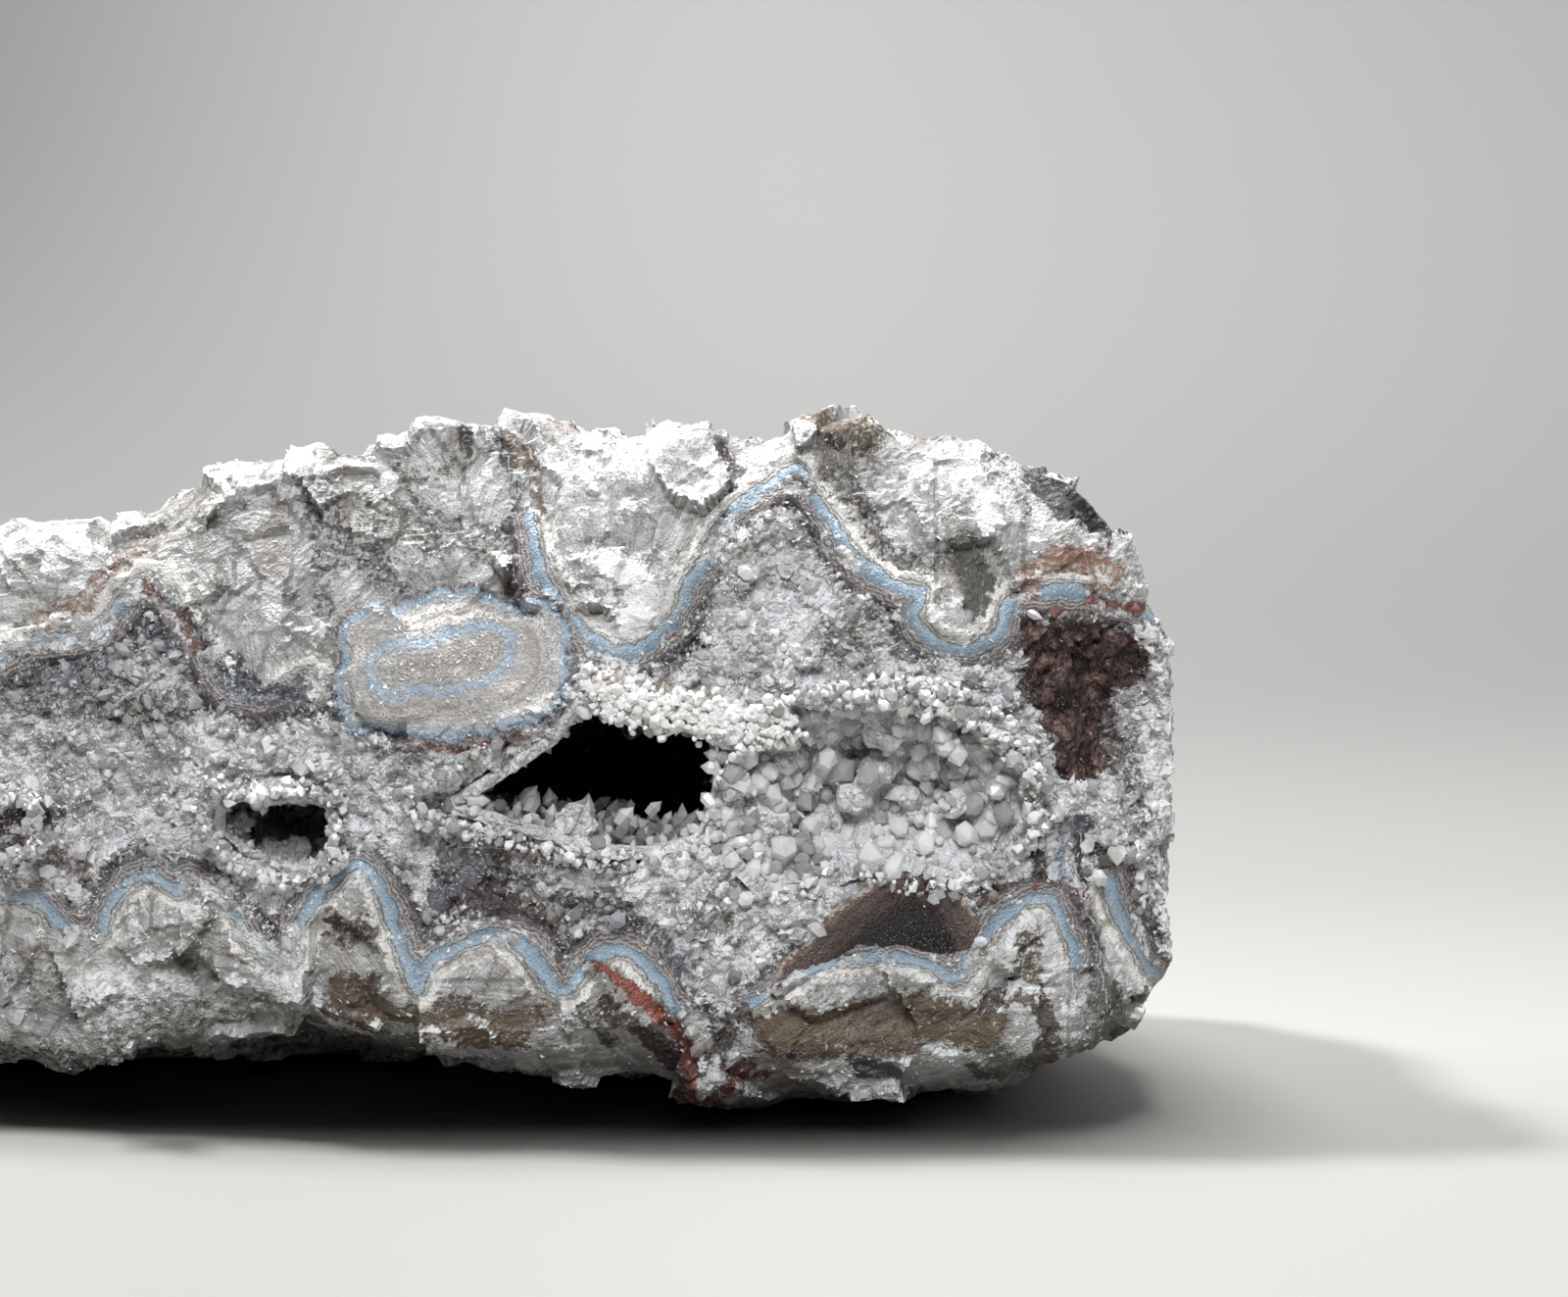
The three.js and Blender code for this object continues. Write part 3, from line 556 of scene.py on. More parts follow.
def fibre_lines(places):
    """Where each place lies in its calcite crystal: across its fibres and along them, and the crystal's number."""
    address, offset, _ = nearest_cells(places, CALCITE_CRYSTAL, 31)
    turn = chance(address, 32) * math.pi
    lift = (chance(address, 33) - 0.5) * 1.2
    flow = np.stack([np.cos(turn), lift, np.sin(turn)], axis=1)
    flow /= np.linalg.norm(flow, axis=1)[:, None]
    along = np.sum(places * flow, axis=1)
    cross = np.cross(flow, [0.3, 1.0, 0.2])
    cross /= np.linalg.norm(cross, axis=1)[:, None]
    across = np.sum(places * cross, axis=1)
    number = chance(address, 34)
    columns, rows = pixels_of(places)
    for (centre_x, centre_y), (left, top, right, bottom) in FIBRE_FANS:
        inside = (columns > left) & (columns < right) & (rows > top) & (rows < bottom)
        reach = np.hypot(columns - centre_x, rows - centre_y) * MM_PER_PIXEL
        angle = np.arctan2(rows - centre_y, columns - centre_x)
        across = np.where(inside, angle * 22, across)
        along = np.where(inside, reach, along)
        number = np.where(inside, 0.45 + 0.1 * number, number)
    return np.stack([across, along, number], axis=1)


CALCITE_CRYSTAL = 8.5  # the size of the calcite crystals
# Where calcite fibres spread from, and the part of the face that they cover, in pixels: left, top, right, bottom.
FIBRE_FANS = [
    ((632, 660), (552, 400, 735, 640)),
    ((1000, 660), (955, 470, 1045, 650)),
    ((700, 1120), (770, 1005, 1090, 1115)),
    ((300, 1000), (330, 1000, 580, 1075)),
]
DRIFT_START = 5.0  # how far behind the face the bands start to wander
GRAIN = 2.1
FINE_GRAIN = 1.15


def band_fields(columns, rows):
    """The signed distance in millimetres to the nearest band's middle, positive on the calcite's side."""
    nearest = np.full(len(columns), 9.0)
    bands = [
        (UPPER_BAND_LEFT, 1), (UPPER_BAND_RIGHT, 1), (LOWER_BAND_LEFT, -1), (LOWER_BAND_RIGHT, -1),
        (RIGHT_COLUMN_BAND, -1),
    ]
    for corners, calcite_side in bands:
        line = smooth_line(corners)
        distance, side, _, at_end = distance_to_line(columns, rows, line)
        distance = (distance + np.where(at_end, 14, 0)) * MM_PER_PIXEL
        closer = distance < np.abs(nearest)
        nearest = np.where(closer, distance * side * calcite_side, nearest)
    return np.clip(nearest, -9, 9)


def ring_field(columns, rows, corners):
    """The distance in millimetres to a closed line, positive inside it."""
    line = smooth_line(corners)
    distance, _, _, _ = distance_to_line(columns, rows, line)
    inside = inside_outline(columns, rows, corners)
    return np.clip(distance * MM_PER_PIXEL * np.where(inside, 1, -1), -9, 9)


def painted(places, columns, rows, hidden):
    """The tint of the patches at each place and how strong it is."""
    tint = np.zeros((len(places), 3))
    strength = np.zeros(len(places))
    ragged = 7 * rough_noise(places, 3.0, 51) + 3 * soft_noise(places, 0.9, 55)
    for name, path, half_width, most in PATCHES:
        distance = distance_to_line(columns, rows, path)[0] + ragged
        weight = most * fade(0.45 * half_width, 1.25 * half_width, distance) * (1 - hidden)
        tint += (np.array(linear(TINTS[name])) - tint) * weight[:, None]
        strength = np.maximum(strength, weight)
    return tint, strength


def veiled(columns, rows):
    """How fully the bands are hidden at each place."""
    veil = np.zeros(len(columns))
    for path, half_width, most in VEILS:
        distance = distance_to_line(columns, rows, path)[0]
        veil = np.maximum(veil, most * fade(0.6 * half_width, 1.5 * half_width, distance))
    return veil


def powdered(columns, rows):
    """How much thicker than elsewhere the white powder lies at each place."""
    amount = np.zeros(len(columns))
    for path, half_width, most in POWDER:
        distance = distance_to_line(columns, rows, path)[0]
        share = most * fade(0.3 * half_width, 1.7 * half_width, distance)
        amount = np.where(np.abs(share) > np.abs(amount), share, amount)
    return amount


def stone_fields(places):
    """Everything about the stone at each place that its form and its finish need."""
    columns, rows = pixels_of(places)
    behind = places[:, 1] - FACE_Y
    drift = np.clip(behind - DRIFT_START, 0, 40)
    columns = columns + 2.0 * drift * soft_noise(places, 16, 11) + 6 * soft_noise(places, 4.5, 12)
    rows = rows + 2.0 * drift * soft_noise(places, 14, 13) + 6 * soft_noise(places, 4.0, 14)
    columns = columns + 2.4 * rough_noise(places, 1.5, 15, 2)
    rows = rows + 2.4 * rough_noise(places, 1.5, 18, 2)
    hidden = 1 - fade(9, 16, behind + 3 * soft_noise(places, 6, 17))
    fields = {
        "columns": columns,
        "rows": rows,
        "hidden": hidden,
        "band": band_fields(columns, rows),
        "eye": ring_field(columns, rows, EYE_RING),
        "core": ring_field(columns, rows, EYE_CORE),
        "wedge": ring_field(columns, rows, BROWN_WEDGE),
        "wedge_depth": distance_to_line(columns, rows, WEDGE_EDGE)[0] * MM_PER_PIXEL,
        "pit": ring_field(columns, rows, BROWN_PIT) * (1 - hidden),
        "quartz": inside_outline(columns, rows, QUARTZ_OUTLINE).astype(float),
    }
    fields["tint"], fields["painted"] = painted(places, columns, rows, hidden)
    fields["veil"] = veiled(columns, rows)
    # Painted shade on the back: behind the face the white powder is thinned, so the back is darker.
    fields["powder"] = powdered(columns, rows) * (1 - hidden) - 0.22 * hidden
    smooth = np.maximum.reduce([
        np.where(fields["band"] > 0, fade(0.9, 1.7, fields["band"]), fade(1.9, 2.7, -fields["band"])),
        fade(-2.0, -1.0, -fields["eye"]) * (fields["eye"] > -1.5),
        (fields["wedge"] > -0.2).astype(float),
    ])
    fields["smooth"] = smooth * (1 - 0.3 * hidden) * (1 - 0.8 * fields["veil"])
    return fields


def stone_relief(places, fields):
    """How far the broken surface stands out, and each grain's own number."""
    big, _ = facets(places, 9.0, 0.9, 0.2, 61)
    middle, crystal = facets(places, 3.8, 0.22, 0.14, 71)
    small, chip = facets(places, 1.6, 0.05, 0.08, 81)
    calcite = big + middle + small
    lumps = 0.9 * rough_noise(places, 6.0, 91, 2)
    coarse, grain = facets(places, GRAIN, 0.40, 0.35, 101)
    fine, speck = facets(places, FINE_GRAIN, 0.16, 0.3, 111)
    quartz = lumps + coarse + fine
    gentle = 0.35 * soft_noise(places, 5, 121) + 0.12 * soft_noise(places, 1.3, 122)
    rugged = np.where(fields["quartz"] > 0.5, quartz, calcite)
    relief = rugged + (0.25 + gentle - rugged) * fields["smooth"]
    number = np.where(fields["quartz"] > 0.5, 0.6 * grain + 0.4 * speck, 0.6 * crystal + 0.4 * chip)
    return relief, number


def even_out(mesh, weights, rounds):
    """Refines the faces that the weights pick: each round parts their edges in two."""
    form = bmesh.new()
    form.from_mesh(mesh)
    for _ in range(rounds):
        form.faces.ensure_lookup_table()
        picked = {edge for face, use in zip(form.faces, weights) if use for edge in face.edges}
        bmesh.ops.subdivide_edges(form, edges=list(picked), cuts=1, use_grid_fill=True)
    bmesh.ops.triangulate(form, faces=[face for face in form.faces if len(face.verts) > 4])
    form.to_mesh(mesh)
    form.free()


def face_middles(mesh):
    middles = np.empty(len(mesh.polygons) * 3, dtype=np.float32)
    mesh.polygons.foreach_get("center", middles)
    normals = np.empty(len(mesh.polygons) * 3, dtype=np.float32)
    mesh.polygons.foreach_get("normal", normals)
    return middles.reshape(-1, 3).astype(float) / MM, normals.reshape(-1, 3).astype(float)


def dress_stone(mesh, still_below=1.2, reach=1.0):
    """Breaks the surface up and stores what its finish is painted from. Returns the fields."""
    places = places_of(mesh)
    normals = normals_of(mesh)
    fields = stone_fields(places)
    relief, number = stone_relief(places, fields)
    still = 1 - fade(0.2, still_below + 1.5, places[:, 2])
    relief = relief * still * reach - 0.25 * still
    places = places + normals * relief[:, None]
    places[:, 2] = np.maximum(places[:, 2], 0.0)
    places = np.clip(places, STONE_LOW, STONE_HIGH)
    set_places(mesh, places)
    set_values(mesh, "band", fields["band"])
    set_values(mesh, "eye", fields["eye"])
    set_values(mesh, "core", fields["core"])
    set_values(mesh, "wedge", fields["wedge"])
    set_values(mesh, "wedge_depth", fields["wedge_depth"])
    set_values(mesh, "pit", fields["pit"])
    set_values(mesh, "veil", fields["veil"])
    set_values(mesh, "powder", fields["powder"])
    set_values(mesh, "quartz", fields["quartz"])
    set_values(mesh, "grain", number)
    set_values(mesh, "relief", relief)
    set_values(mesh, "fibre", fibre_lines(places))
    set_values(mesh, "tint", np.hstack([fields["tint"], fields["painted"][:, None]]))
    return fields


def fuller_end(places):
    """Carries the front of the right end outwards, within the stone's box."""
    near_end = 1 - fade(58, 79, places[:, 0])
    in_front = fade(FACE_Y + 12, FACE_Y + 34, places[:, 1])
    places[:, 0] = np.minimum(places[:, 0] + 2.6 * near_end * in_front, STONE_HIGH[0] - 0.3)
    return places


def make_rock(material):
    mesh = node_copy("agate_stone", 1.05, 4)
    set_places(mesh, fuller_end(places_of(mesh)))
    middles, normals = face_middles(mesh)
    view = CAMERA - middles
    view /= np.linalg.norm(view, axis=1)[:, None]
    seen = (np.sum(view * normals, axis=1) > 0.12) & (middles[:, 1] < FACE_Y + 30)
    even_out(mesh, seen, 1)
    fields = dress_stone(mesh)
    return link_piece("banded_agate_rock", mesh, [material]), fields


# Crystals and grains, as many small forms joined in one mesh

def form_arrays(form):
    """The points and the triangles of a small form."""
    bmesh.ops.triangulate(form, faces=form.faces)
    bmesh.ops.recalc_face_normals(form, faces=form.faces)
    points = np.array([vertex.co[:] for vertex in form.verts])
    faces = np.array([[vertex.index for vertex in face.verts] for face in form.faces])
    form.free()
    return points, faces


def quartz_point(tip, lean):
    """A six-sided quartz crystal, 1 high and 1 wide, whose tip takes up a share of its height and leans aside."""
    form = bmesh.new()
    bmesh.ops.create_cone(form, cap_ends=True, segments=6, radius1=0.44, radius2=0.5, depth=1.0 - tip)
    bmesh.ops.translate(form, verts=form.verts, vec=(0, 0, (1.0 - tip) / 2))
    top = max(form.faces, key=lambda face: face.calc_center_median().z)
    peak = bmesh.ops.poke(form, faces=[top])["verts"][0]
    peak.co.z = 1.0
    peak.co.x += lean
    form.verts.index_update()
    return form_arrays(form)


def chip(seed, corners=9):
    """An angular chip, about 1 across: the hull of a few corners."""
    form = bmesh.new()
    draws = np.random.default_rng(seed)
    for _ in range(corners):
        corner = draws.normal(size=3)
        form.verts.new(corner / np.linalg.norm(corner) * (0.42 + 0.18 * draws.random()))
    bmesh.ops.convex_hull(form, input=form.verts)
    loose = [vertex for vertex in form.verts if not vertex.link_faces]
    bmesh.ops.delete(form, geom=loose, context="VERTS")
    form.verts.index_update()
    return form_arrays(form)


def spots_on(mesh, weights, count, draws):
    """Places on a mesh's faces and their normals, drawn by the faces' areas and weights."""
    mesh.calc_loop_triangles()
    corners = np.empty(len(mesh.loop_triangles) * 3, dtype=np.int32)
    mesh.loop_triangles.foreach_get("vertices", corners)
    corners = corners.reshape(-1, 3)
    places = places_of(mesh)
    a, b, c = (places[corners[:, i]] for i in range(3))
    cross = np.cross(b - a, c - a)
    areas = np.linalg.norm(cross, axis=1)
    share = areas * weights[corners].mean(axis=1)
    picked = draws.choice(len(corners), size=count, p=share / share.sum())
    u, v = draws.random((2, count))
    flip = u + v > 1
    u, v = np.where(flip, 1 - u, u), np.where(flip, 1 - v, v)
    spots = a[picked] + (b - a)[picked] * u[:, None] + (c - a)[picked] * v[:, None]
    smooth = normals_of(mesh)[corners[picked]].mean(axis=1)
    smooth /= np.linalg.norm(smooth, axis=1)[:, None]
    return spots, smooth, corners[picked, 0]


def turned(directions, draws):
    """Turns that carry +Z to each direction, with a random spin about it."""
    up = directions / np.linalg.norm(directions, axis=1)[:, None]
    helper = np.where(np.abs(up[:, 2:3]) < 0.9, [[0.0, 0.0, 1.0]], [[1.0, 0.0, 0.0]])
    side = np.cross(helper, up)
    side /= np.linalg.norm(side, axis=1)[:, None]
    other = np.cross(up, side)
    spin = draws.random(len(up))[:, None] * 2 * math.pi
    first = side * np.cos(spin) + other * np.sin(spin)
    second = np.cross(up, first)
    return np.stack([first, second, up], axis=2)


def gather(forms, spots, turns, sizes, picks, values, slots=None):
    """One mesh of many small forms. sizes holds the size of each along its own three directions, values what is
    stored for each under a name, and slots each one's material."""
    points, triangles, order, owners = [], [], [], []
    start = 0
    for i, (shape, faces) in enumerate(forms):
        chosen = picks == i
        scaled = shape[None] * sizes[chosen][:, None]
        moved = np.einsum("nij,npj->npi", turns[chosen], scaled) + spots[chosen][:, None]
        count = len(moved)
        points.append(moved.reshape(-1, 3))
        steps = start + np.arange(count)[:, None, None] * len(shape)
        triangles.append((faces[None] + steps).reshape(-1, 3))
        order.append(np.repeat(np.flatnonzero(chosen), len(shape)))
        owners.append(np.repeat(np.flatnonzero(chosen), len(faces)))
        start += count * len(shape)
    points, triangles, order = np.vstack(points), np.vstack(triangles), np.concatenate(order)
    mesh = bpy.data.meshes.new("gathered")
    mesh.vertices.add(len(points))
    mesh.loops.add(len(triangles) * 3)
    mesh.polygons.add(len(triangles))
    mesh.loops.foreach_set("vertex_index", triangles.ravel().astype(np.int32))
    mesh.polygons.foreach_set("loop_start", np.arange(len(triangles), dtype=np.int32) * 3)
    points = np.clip(points, STONE_LOW, STONE_HIGH)
    mesh.vertices.foreach_set("co", (points * MM).astype(np.float32).ravel())
    mesh.update(calc_edges=True)
    mesh.shade_flat()
    if slots is not None:
        mesh.polygons.foreach_set("material_index", slots[np.concatenate(owners)].astype(np.int32))
    for name, numbers in values.items():
        set_values(mesh, name, numbers[order])
    return mesh


# Where each hollow's crystals point to, in millimetres from the face: across, behind the face and up
CRUST_SPREAD = 0.05  # how much the crust spreads, to close the gap between it and the hollow's wall
CRUST_THINNED = 0.6  # how far the crust's faces are drawn back, so that crystals have room before them
CHAMBER_MIDDLE = (22.9, 13.0, 36.8)
BOWL_MIDDLE = (48.9, -8.0, 36.5)
SMALL_MIDDLE = (-11.3, 6.0, 31.3)


def painted_chamber_shade(places):
    """How much painted shade darkens the large hollow at each place: 0 at its mouth and in the open bowl, 1 deep
    inside it.
    """
    behind = places[:, 1] - FACE_Y
    in_chamber = fade(33.0, 37.0, places[:, 0])
    low = fade(32.0, 37.0, places[:, 2]) * fade(8.0, 20.0, behind)
    return in_chamber * (1 - fade(1.5, 9.0, behind)) * (1 - 0.85 * low)


def make_druse(name, node, middles, count, widths, lengths, materials):
    """A hollow's crust with many crystals that point into the hollow. materials are the crust's, the clear
    crystals' and the milky crystals'. Returns its two pieces."""
    mesh = node_copy(node, 0.45)
    places = places_of(mesh)
    normals = normals_of(mesh)
    for x, _, z in middles:
        own = fade(33, 37, places[:, 0]) if x < 36 else 1 - fade(33, 37, places[:, 0])
        places[:, 0] += own * (places[:, 0] - x) * CRUST_SPREAD
        places[:, 2] += own * (places[:, 2] - z) * CRUST_SPREAD
    centres = np.array([(x, FACE_Y + y, z) for x, y, z in middles])
    away = np.linalg.norm(places[:, None] - centres[None], axis=2)
    toward = centres[np.argmin(away, axis=1)] - places
    toward /= np.linalg.norm(toward, axis=1)[:, None]
    facing = np.sum(toward * normals, axis=1)
    rough = 0.3 * rough_noise(places, 1.6, 201, 2) - CRUST_THINNED * np.clip(3 * facing, -1, 1)
    drawn_in = 2.2 * fade(0.0, 4.0, places[:, 1] - FACE_Y)
    rough = rough - drawn_in * np.clip(-normals[:, 1], 0, 1)
    set_places(mesh, np.clip(places + normals * rough[:, None], STONE_LOW, STONE_HIGH))
    set_values(mesh, "grain", facets(places, 1.2, 0.3, 0.3, 211)[1])
    # Painted shade: the crust is darkened deep inside the large hollow, stored as shade.
    set_values(mesh, "shade", painted_chamber_shade(places))
    draws = np.random.default_rng(17)
    weights = np.clip(facing, 0, 1) ** 2 * (places[:, 1] > FACE_Y - 1)
    spots, outward, _ = spots_on(mesh, weights, count, draws)
    away = np.linalg.norm(spots[:, None] - centres[None], axis=2)
    aim = centres[np.argmin(away, axis=1)] - spots
    aim /= np.linalg.norm(aim, axis=1)[:, None]
    aim = outward + 0.35 * aim + 0.38 * draws.normal(size=outward.shape)
    share = draws.random(count) ** 2.2
    share = share * np.where(spots[:, 0] < 35, 0.4, 1.0)
    width = widths[0] + (widths[1] - widths[0]) * share
    length = lengths[0] + (lengths[1] - lengths[0]) * share * (0.7 + 0.3 * draws.random(count))
    turns = turned(aim, draws)
    forms = [quartz_point(0.34, 0.05), quartz_point(0.28, -0.16), quartz_point(0.42, 0.1)]
    sizes = np.stack([width, width * (0.8 + 0.3 * draws.random(count)), length], axis=1)
    sunk = spots - turns[:, :, 2] * (0.35 * length)[:, None]
    picks = draws.integers(0, len(forms), count)
    # Painted shade: each crystal is darkened deep inside the large hollow, stored as shade.
    values = {"tone": draws.random(count), "shade": painted_chamber_shade(spots)}
    crystals = gather(forms, sunk, turns, sizes, picks, values, (draws.random(count) < 0.7).astype(int))
    crust = link_piece(name + "_crust", mesh, materials[:1])
    points = link_piece(name + "_druse", crystals, materials[1:])
    return crust, points


# The line of the white knobs over the large hollow, and other rows of grains round the hollows' mouths, in pixels
WHITE_LIP = [(588, 692), (612, 702), (640, 718), (668, 724), (700, 726), (735, 738), (768, 742), (800, 740)]
CHAMBER_HEAP = [(462, 818), (500, 832), (550, 840), (600, 846), (650, 852), (700, 856)]
HOLLOW_RIMS = [
    [(596, 694), (570, 716), (535, 735), (498, 757), (466, 782), (436, 798), (420, 812)],
    [(424, 826), (470, 846), (530, 858), (600, 874), (660, 876), (724, 868)],
    [(728, 862), (742, 800), (746, 745)],
    [(770, 738), (830, 708), (900, 696), (960, 706), (1010, 730), (1050, 770), (1062, 830), (1030, 880),
     (960, 908), (900, 896), (850, 890), (800, 915), (750, 918), (722, 890)],
    [(208, 800), (240, 808), (262, 804), (300, 804), (342, 814), (342, 880), (312, 898), (268, 896), (228, 876),
     (204, 830)],
    [(0, 804), (32, 818), (36, 862), (4, 876)],
    [(820, 716), (880, 712), (940, 716), (990, 732), (1030, 760), (1050, 800), (1052, 850)],
    [(900, 704), (950, 722), (1005, 744), (1034, 780)],
]


def row_of_forms(path, spread, depths, count, draws):
    """Random places beside a line of pixels, on planes between two depths behind the face."""
    line = smooth_line(path)
    steps = np.hypot(*np.diff(line, axis=0).T)
    travelled = np.concatenate([[0], np.cumsum(steps)])
    stations = draws.random(count) * travelled[-1]
    columns = np.interp(stations, travelled, line[:, 0]) + spread * draws.normal(size=count)
    rows = np.interp(stations, travelled, line[:, 1]) + spread * draws.normal(size=count)
    return places_at(columns, rows, FACE_Y + depths[0] + (depths[1] - depths[0]) * draws.random(count))


def make_rims(materials):
    """White knobs on the large hollow's lip, and grains and small crystals round every mouth."""
    draws = np.random.default_rng(41)
    knobs = row_of_forms(WHITE_LIP, 10, (-0.2, 1.6), 1100, draws)
    rims = [row_of_forms(path, 5, (-0.6, 2.8), int(len(smooth_line(path)) * 7), draws) for path in HOLLOW_RIMS]
    heap = row_of_forms(CHAMBER_HEAP, 11, (3.0, 14.0), 170, draws)
    spots = np.vstack([knobs, *rims, heap])
    count = len(spots)
    is_knob = np.arange(count) < len(knobs)
    in_heap = np.arange(count) >= count - len(heap)
    size = np.where(is_knob, 0.6 + 0.8 * draws.random(count) ** 3, 0.4 + 1.2 * draws.random(count) ** 2)
    size = np.where(in_heap, 0.8 + 1.0 * draws.random(count), size)
    aim = np.array([0.0, -1.0, 0.2]) + 0.7 * draws.normal(size=(count, 3))
    forms = [chip(14, 22), chip(11), chip(12, 7), chip(13, 12), quartz_point(0.45, 0.1)]
    picks = np.where(is_knob, 0, draws.integers(1, len(forms), count))
    picks = np.where(in_heap, len(forms) - 1, picks)
    sizes = size[:, None] * (0.8 + 0.4 * draws.random((count, 3)))
    sizes[in_heap, 2] *= 1.7
    aim[in_heap] = np.array([0.2, -0.5, 0.8]) + 0.5 * draws.normal(size=(len(heap), 3))
    tones = np.where(is_knob, 0.8 + 0.2 * draws.random(count), draws.random(count))
    tint = np.tile([*linear((0.94, 0.93, 0.915)), 0.0], (count, 1))
    tint[is_knob, 3] = 0.7
    slots = np.where(is_knob, 0, (draws.random(count) < 0.4).astype(int))
    # Painted shade: the heap's crystals inside the large hollow get a fixed painted shade, the rims half of the
    # hollow's.
    values = {"tone": tones, "tint": tint, "shade": np.where(in_heap, 0.4, 0.5 * painted_chamber_shade(spots))}
    rim = gather(forms, spots, turned(aim, draws), sizes, picks, values, slots)
    return link_piece("hollow_rims", rim, materials)


def make_grains(name, rock, fields, count, seed, facing, materials):
    """Quartz grains that stand out of the quartz, on the side of the stone that faces along Y as given."""
    mesh = rock.data
    draws = np.random.default_rng(seed)
    normals = normals_of(mesh)
    places = places_of(mesh)
    ground = 1 - fade(2.0, 6.0, places[:, 2])
    sugary = fields["quartz"] * (1 - fields["smooth"]) * ground * (fields["pit"] < 0.3)
    front = np.clip(facing * normals[:, 1] + 0.35, 0, 1)
    clumps = 0.25 + np.clip(0.6 + soft_noise(places, 7.0, 221), 0, 1.6)
    spots, outward, nearest = spots_on(mesh, sugary * front * clumps + 1e-9, count, draws)
    share = draws.random(count) ** 3.2
    size = 0.4 + 1.3 * share
    aim = outward + 0.6 * draws.normal(size=outward.shape)
    turns = turned(aim, draws)
    forms = [chip(1), chip(2), chip(3, 7), chip(4, 12), chip(5, 14), quartz_point(0.5, 0.1)]
    sizes = size[:, None] * (0.6 + 0.8 * draws.random((count, 3)))
    sunk = spots - outward * (0.32 * size)[:, None]
    picks = draws.integers(0, len(forms), count)
    tint = np.hstack([fields["tint"], fields["painted"][:, None]])[nearest]
    # Painted shade: grains on the back of the stone are darker in tone than those on the face.
    tone_under_back_painted_shade = 1.0 if facing < 0 else 0.6
    values = {"tone": tone_under_back_painted_shade * draws.random(count), "tint": tint, "shade": np.zeros(count)}
    clear = (draws.random(count) < 0.25) & (tint[:, 3] < 0.3)
    grains = gather(forms, sunk, turns, sizes, picks, values, clear.astype(int))
    return link_piece(name, grains, materials)


SUGAR_COUNT = 22000


def make_sugar(rock, fields, material):
    """Fine sugar-like grains, thick on the quartz and the eye and where powder lies, and sparse elsewhere."""
    mesh = rock.data
    draws = np.random.default_rng(53)
    places = places_of(mesh)
    normals = normals_of(mesh)
    ground = 1 - fade(2.0, 6.0, places[:, 2])
    front = np.clip(-normals[:, 1] + 0.4, 0, 1)
    in_eye = (fields["eye"] > 0).astype(float)
    bare = np.maximum((fields["wedge"] > 0).astype(float), (fields["pit"] > 0.4).astype(float))
    thick = np.maximum.reduce([
        0.3 + 0.7 * fields["quartz"], 0.8 * in_eye, fields["veil"], 0.9 * np.clip(fields["powder"], 0, 1),
    ])
    thick = thick * (1 - 0.85 * fields["smooth"] * (1 - in_eye)) * (1 - 0.95 * bare)
    clumps = 0.15 + np.clip(0.5 + 1.4 * soft_noise(places, 2.4, 231), 0, 1.8)
    spots, outward, nearest = spots_on(mesh, thick * front * ground * clumps + 1e-9, SUGAR_COUNT, draws)
    size = 0.28 + 0.5 * draws.random(SUGAR_COUNT) ** 2
    forms = [chip(21, 6), chip(22, 6), chip(23, 5)]
    sizes = size[:, None] * (0.7 + 0.6 * draws.random((SUGAR_COUNT, 3)))
    turns = turned(outward + 0.8 * draws.normal(size=outward.shape), draws)
    picks = draws.integers(0, len(forms), SUGAR_COUNT)
    tint = np.hstack([fields["tint"], 0.7 * fields["painted"][:, None]])[nearest]
    values = {"tone": 0.35 + 0.65 * draws.random(SUGAR_COUNT), "tint": tint, "shade": np.zeros(SUGAR_COUNT)}
    sugar = gather(forms, spots - outward * (0.1 * size)[:, None], turns, sizes, picks, values)
    return link_piece("sugar_grains", sugar, [material])


# Finishes

def node(tree, kind, inputs=None, **settings):
    """A shader node with its settings. Each input takes a value or another node's output."""
    made = tree.nodes.new(kind)
    for name, value in settings.items():
        setattr(made, name, value)
    for name, source in (inputs or {}).items():
        if isinstance(source, bpy.types.NodeSocket):
            tree.links.new(source, made.inputs[name])
        else:
            made.inputs[name].default_value = source
    return made


def calculate(tree, operation, first, second=0.0, third=0.0, clamp=False):
    inputs = {0: first, 1: second, 2: third}
    return node(tree, "ShaderNodeMath", inputs, operation=operation, use_clamp=clamp).outputs[0]


def between(tree, value, low, high, to_low=0.0, to_high=1.0):
    """The value carried smoothly from one range to another."""
    inputs = {0: value, 1: low, 2: high, 3: to_low, 4: to_high}
    return node(tree, "ShaderNodeMapRange", inputs, interpolation_type="SMOOTHSTEP").outputs[0]


def blended(tree, share, first, second, mode="MIX"):
    made = node(tree, "ShaderNodeMix", data_type="RGBA", blend_type=mode, clamp_factor=True)
    for index, source in ((0, share), (6, first), (7, second)):
        if isinstance(source, bpy.types.NodeSocket):
            tree.links.new(source, made.inputs[index])
        elif index:
            made.inputs[index].default_value = (*linear(source), 1)
        else:
            made.inputs[index].default_value = source
    return made.outputs[2]


def ramp(tree, share, stops, interpolation="LINEAR"):
    """Colours along a value. Each stop is a place from 0 to 1 and a colour as seen."""
    made = node(tree, "ShaderNodeValToRGB", {0: share})
    made.color_ramp.interpolation = interpolation
    steps = made.color_ramp.elements
    while len(steps) < len(stops):
        steps.new(0.5)
    for step, (place, colour) in zip(steps, stops):
        step.position = place
        step.color = (*linear(colour), 1)
    return made.outputs[0]


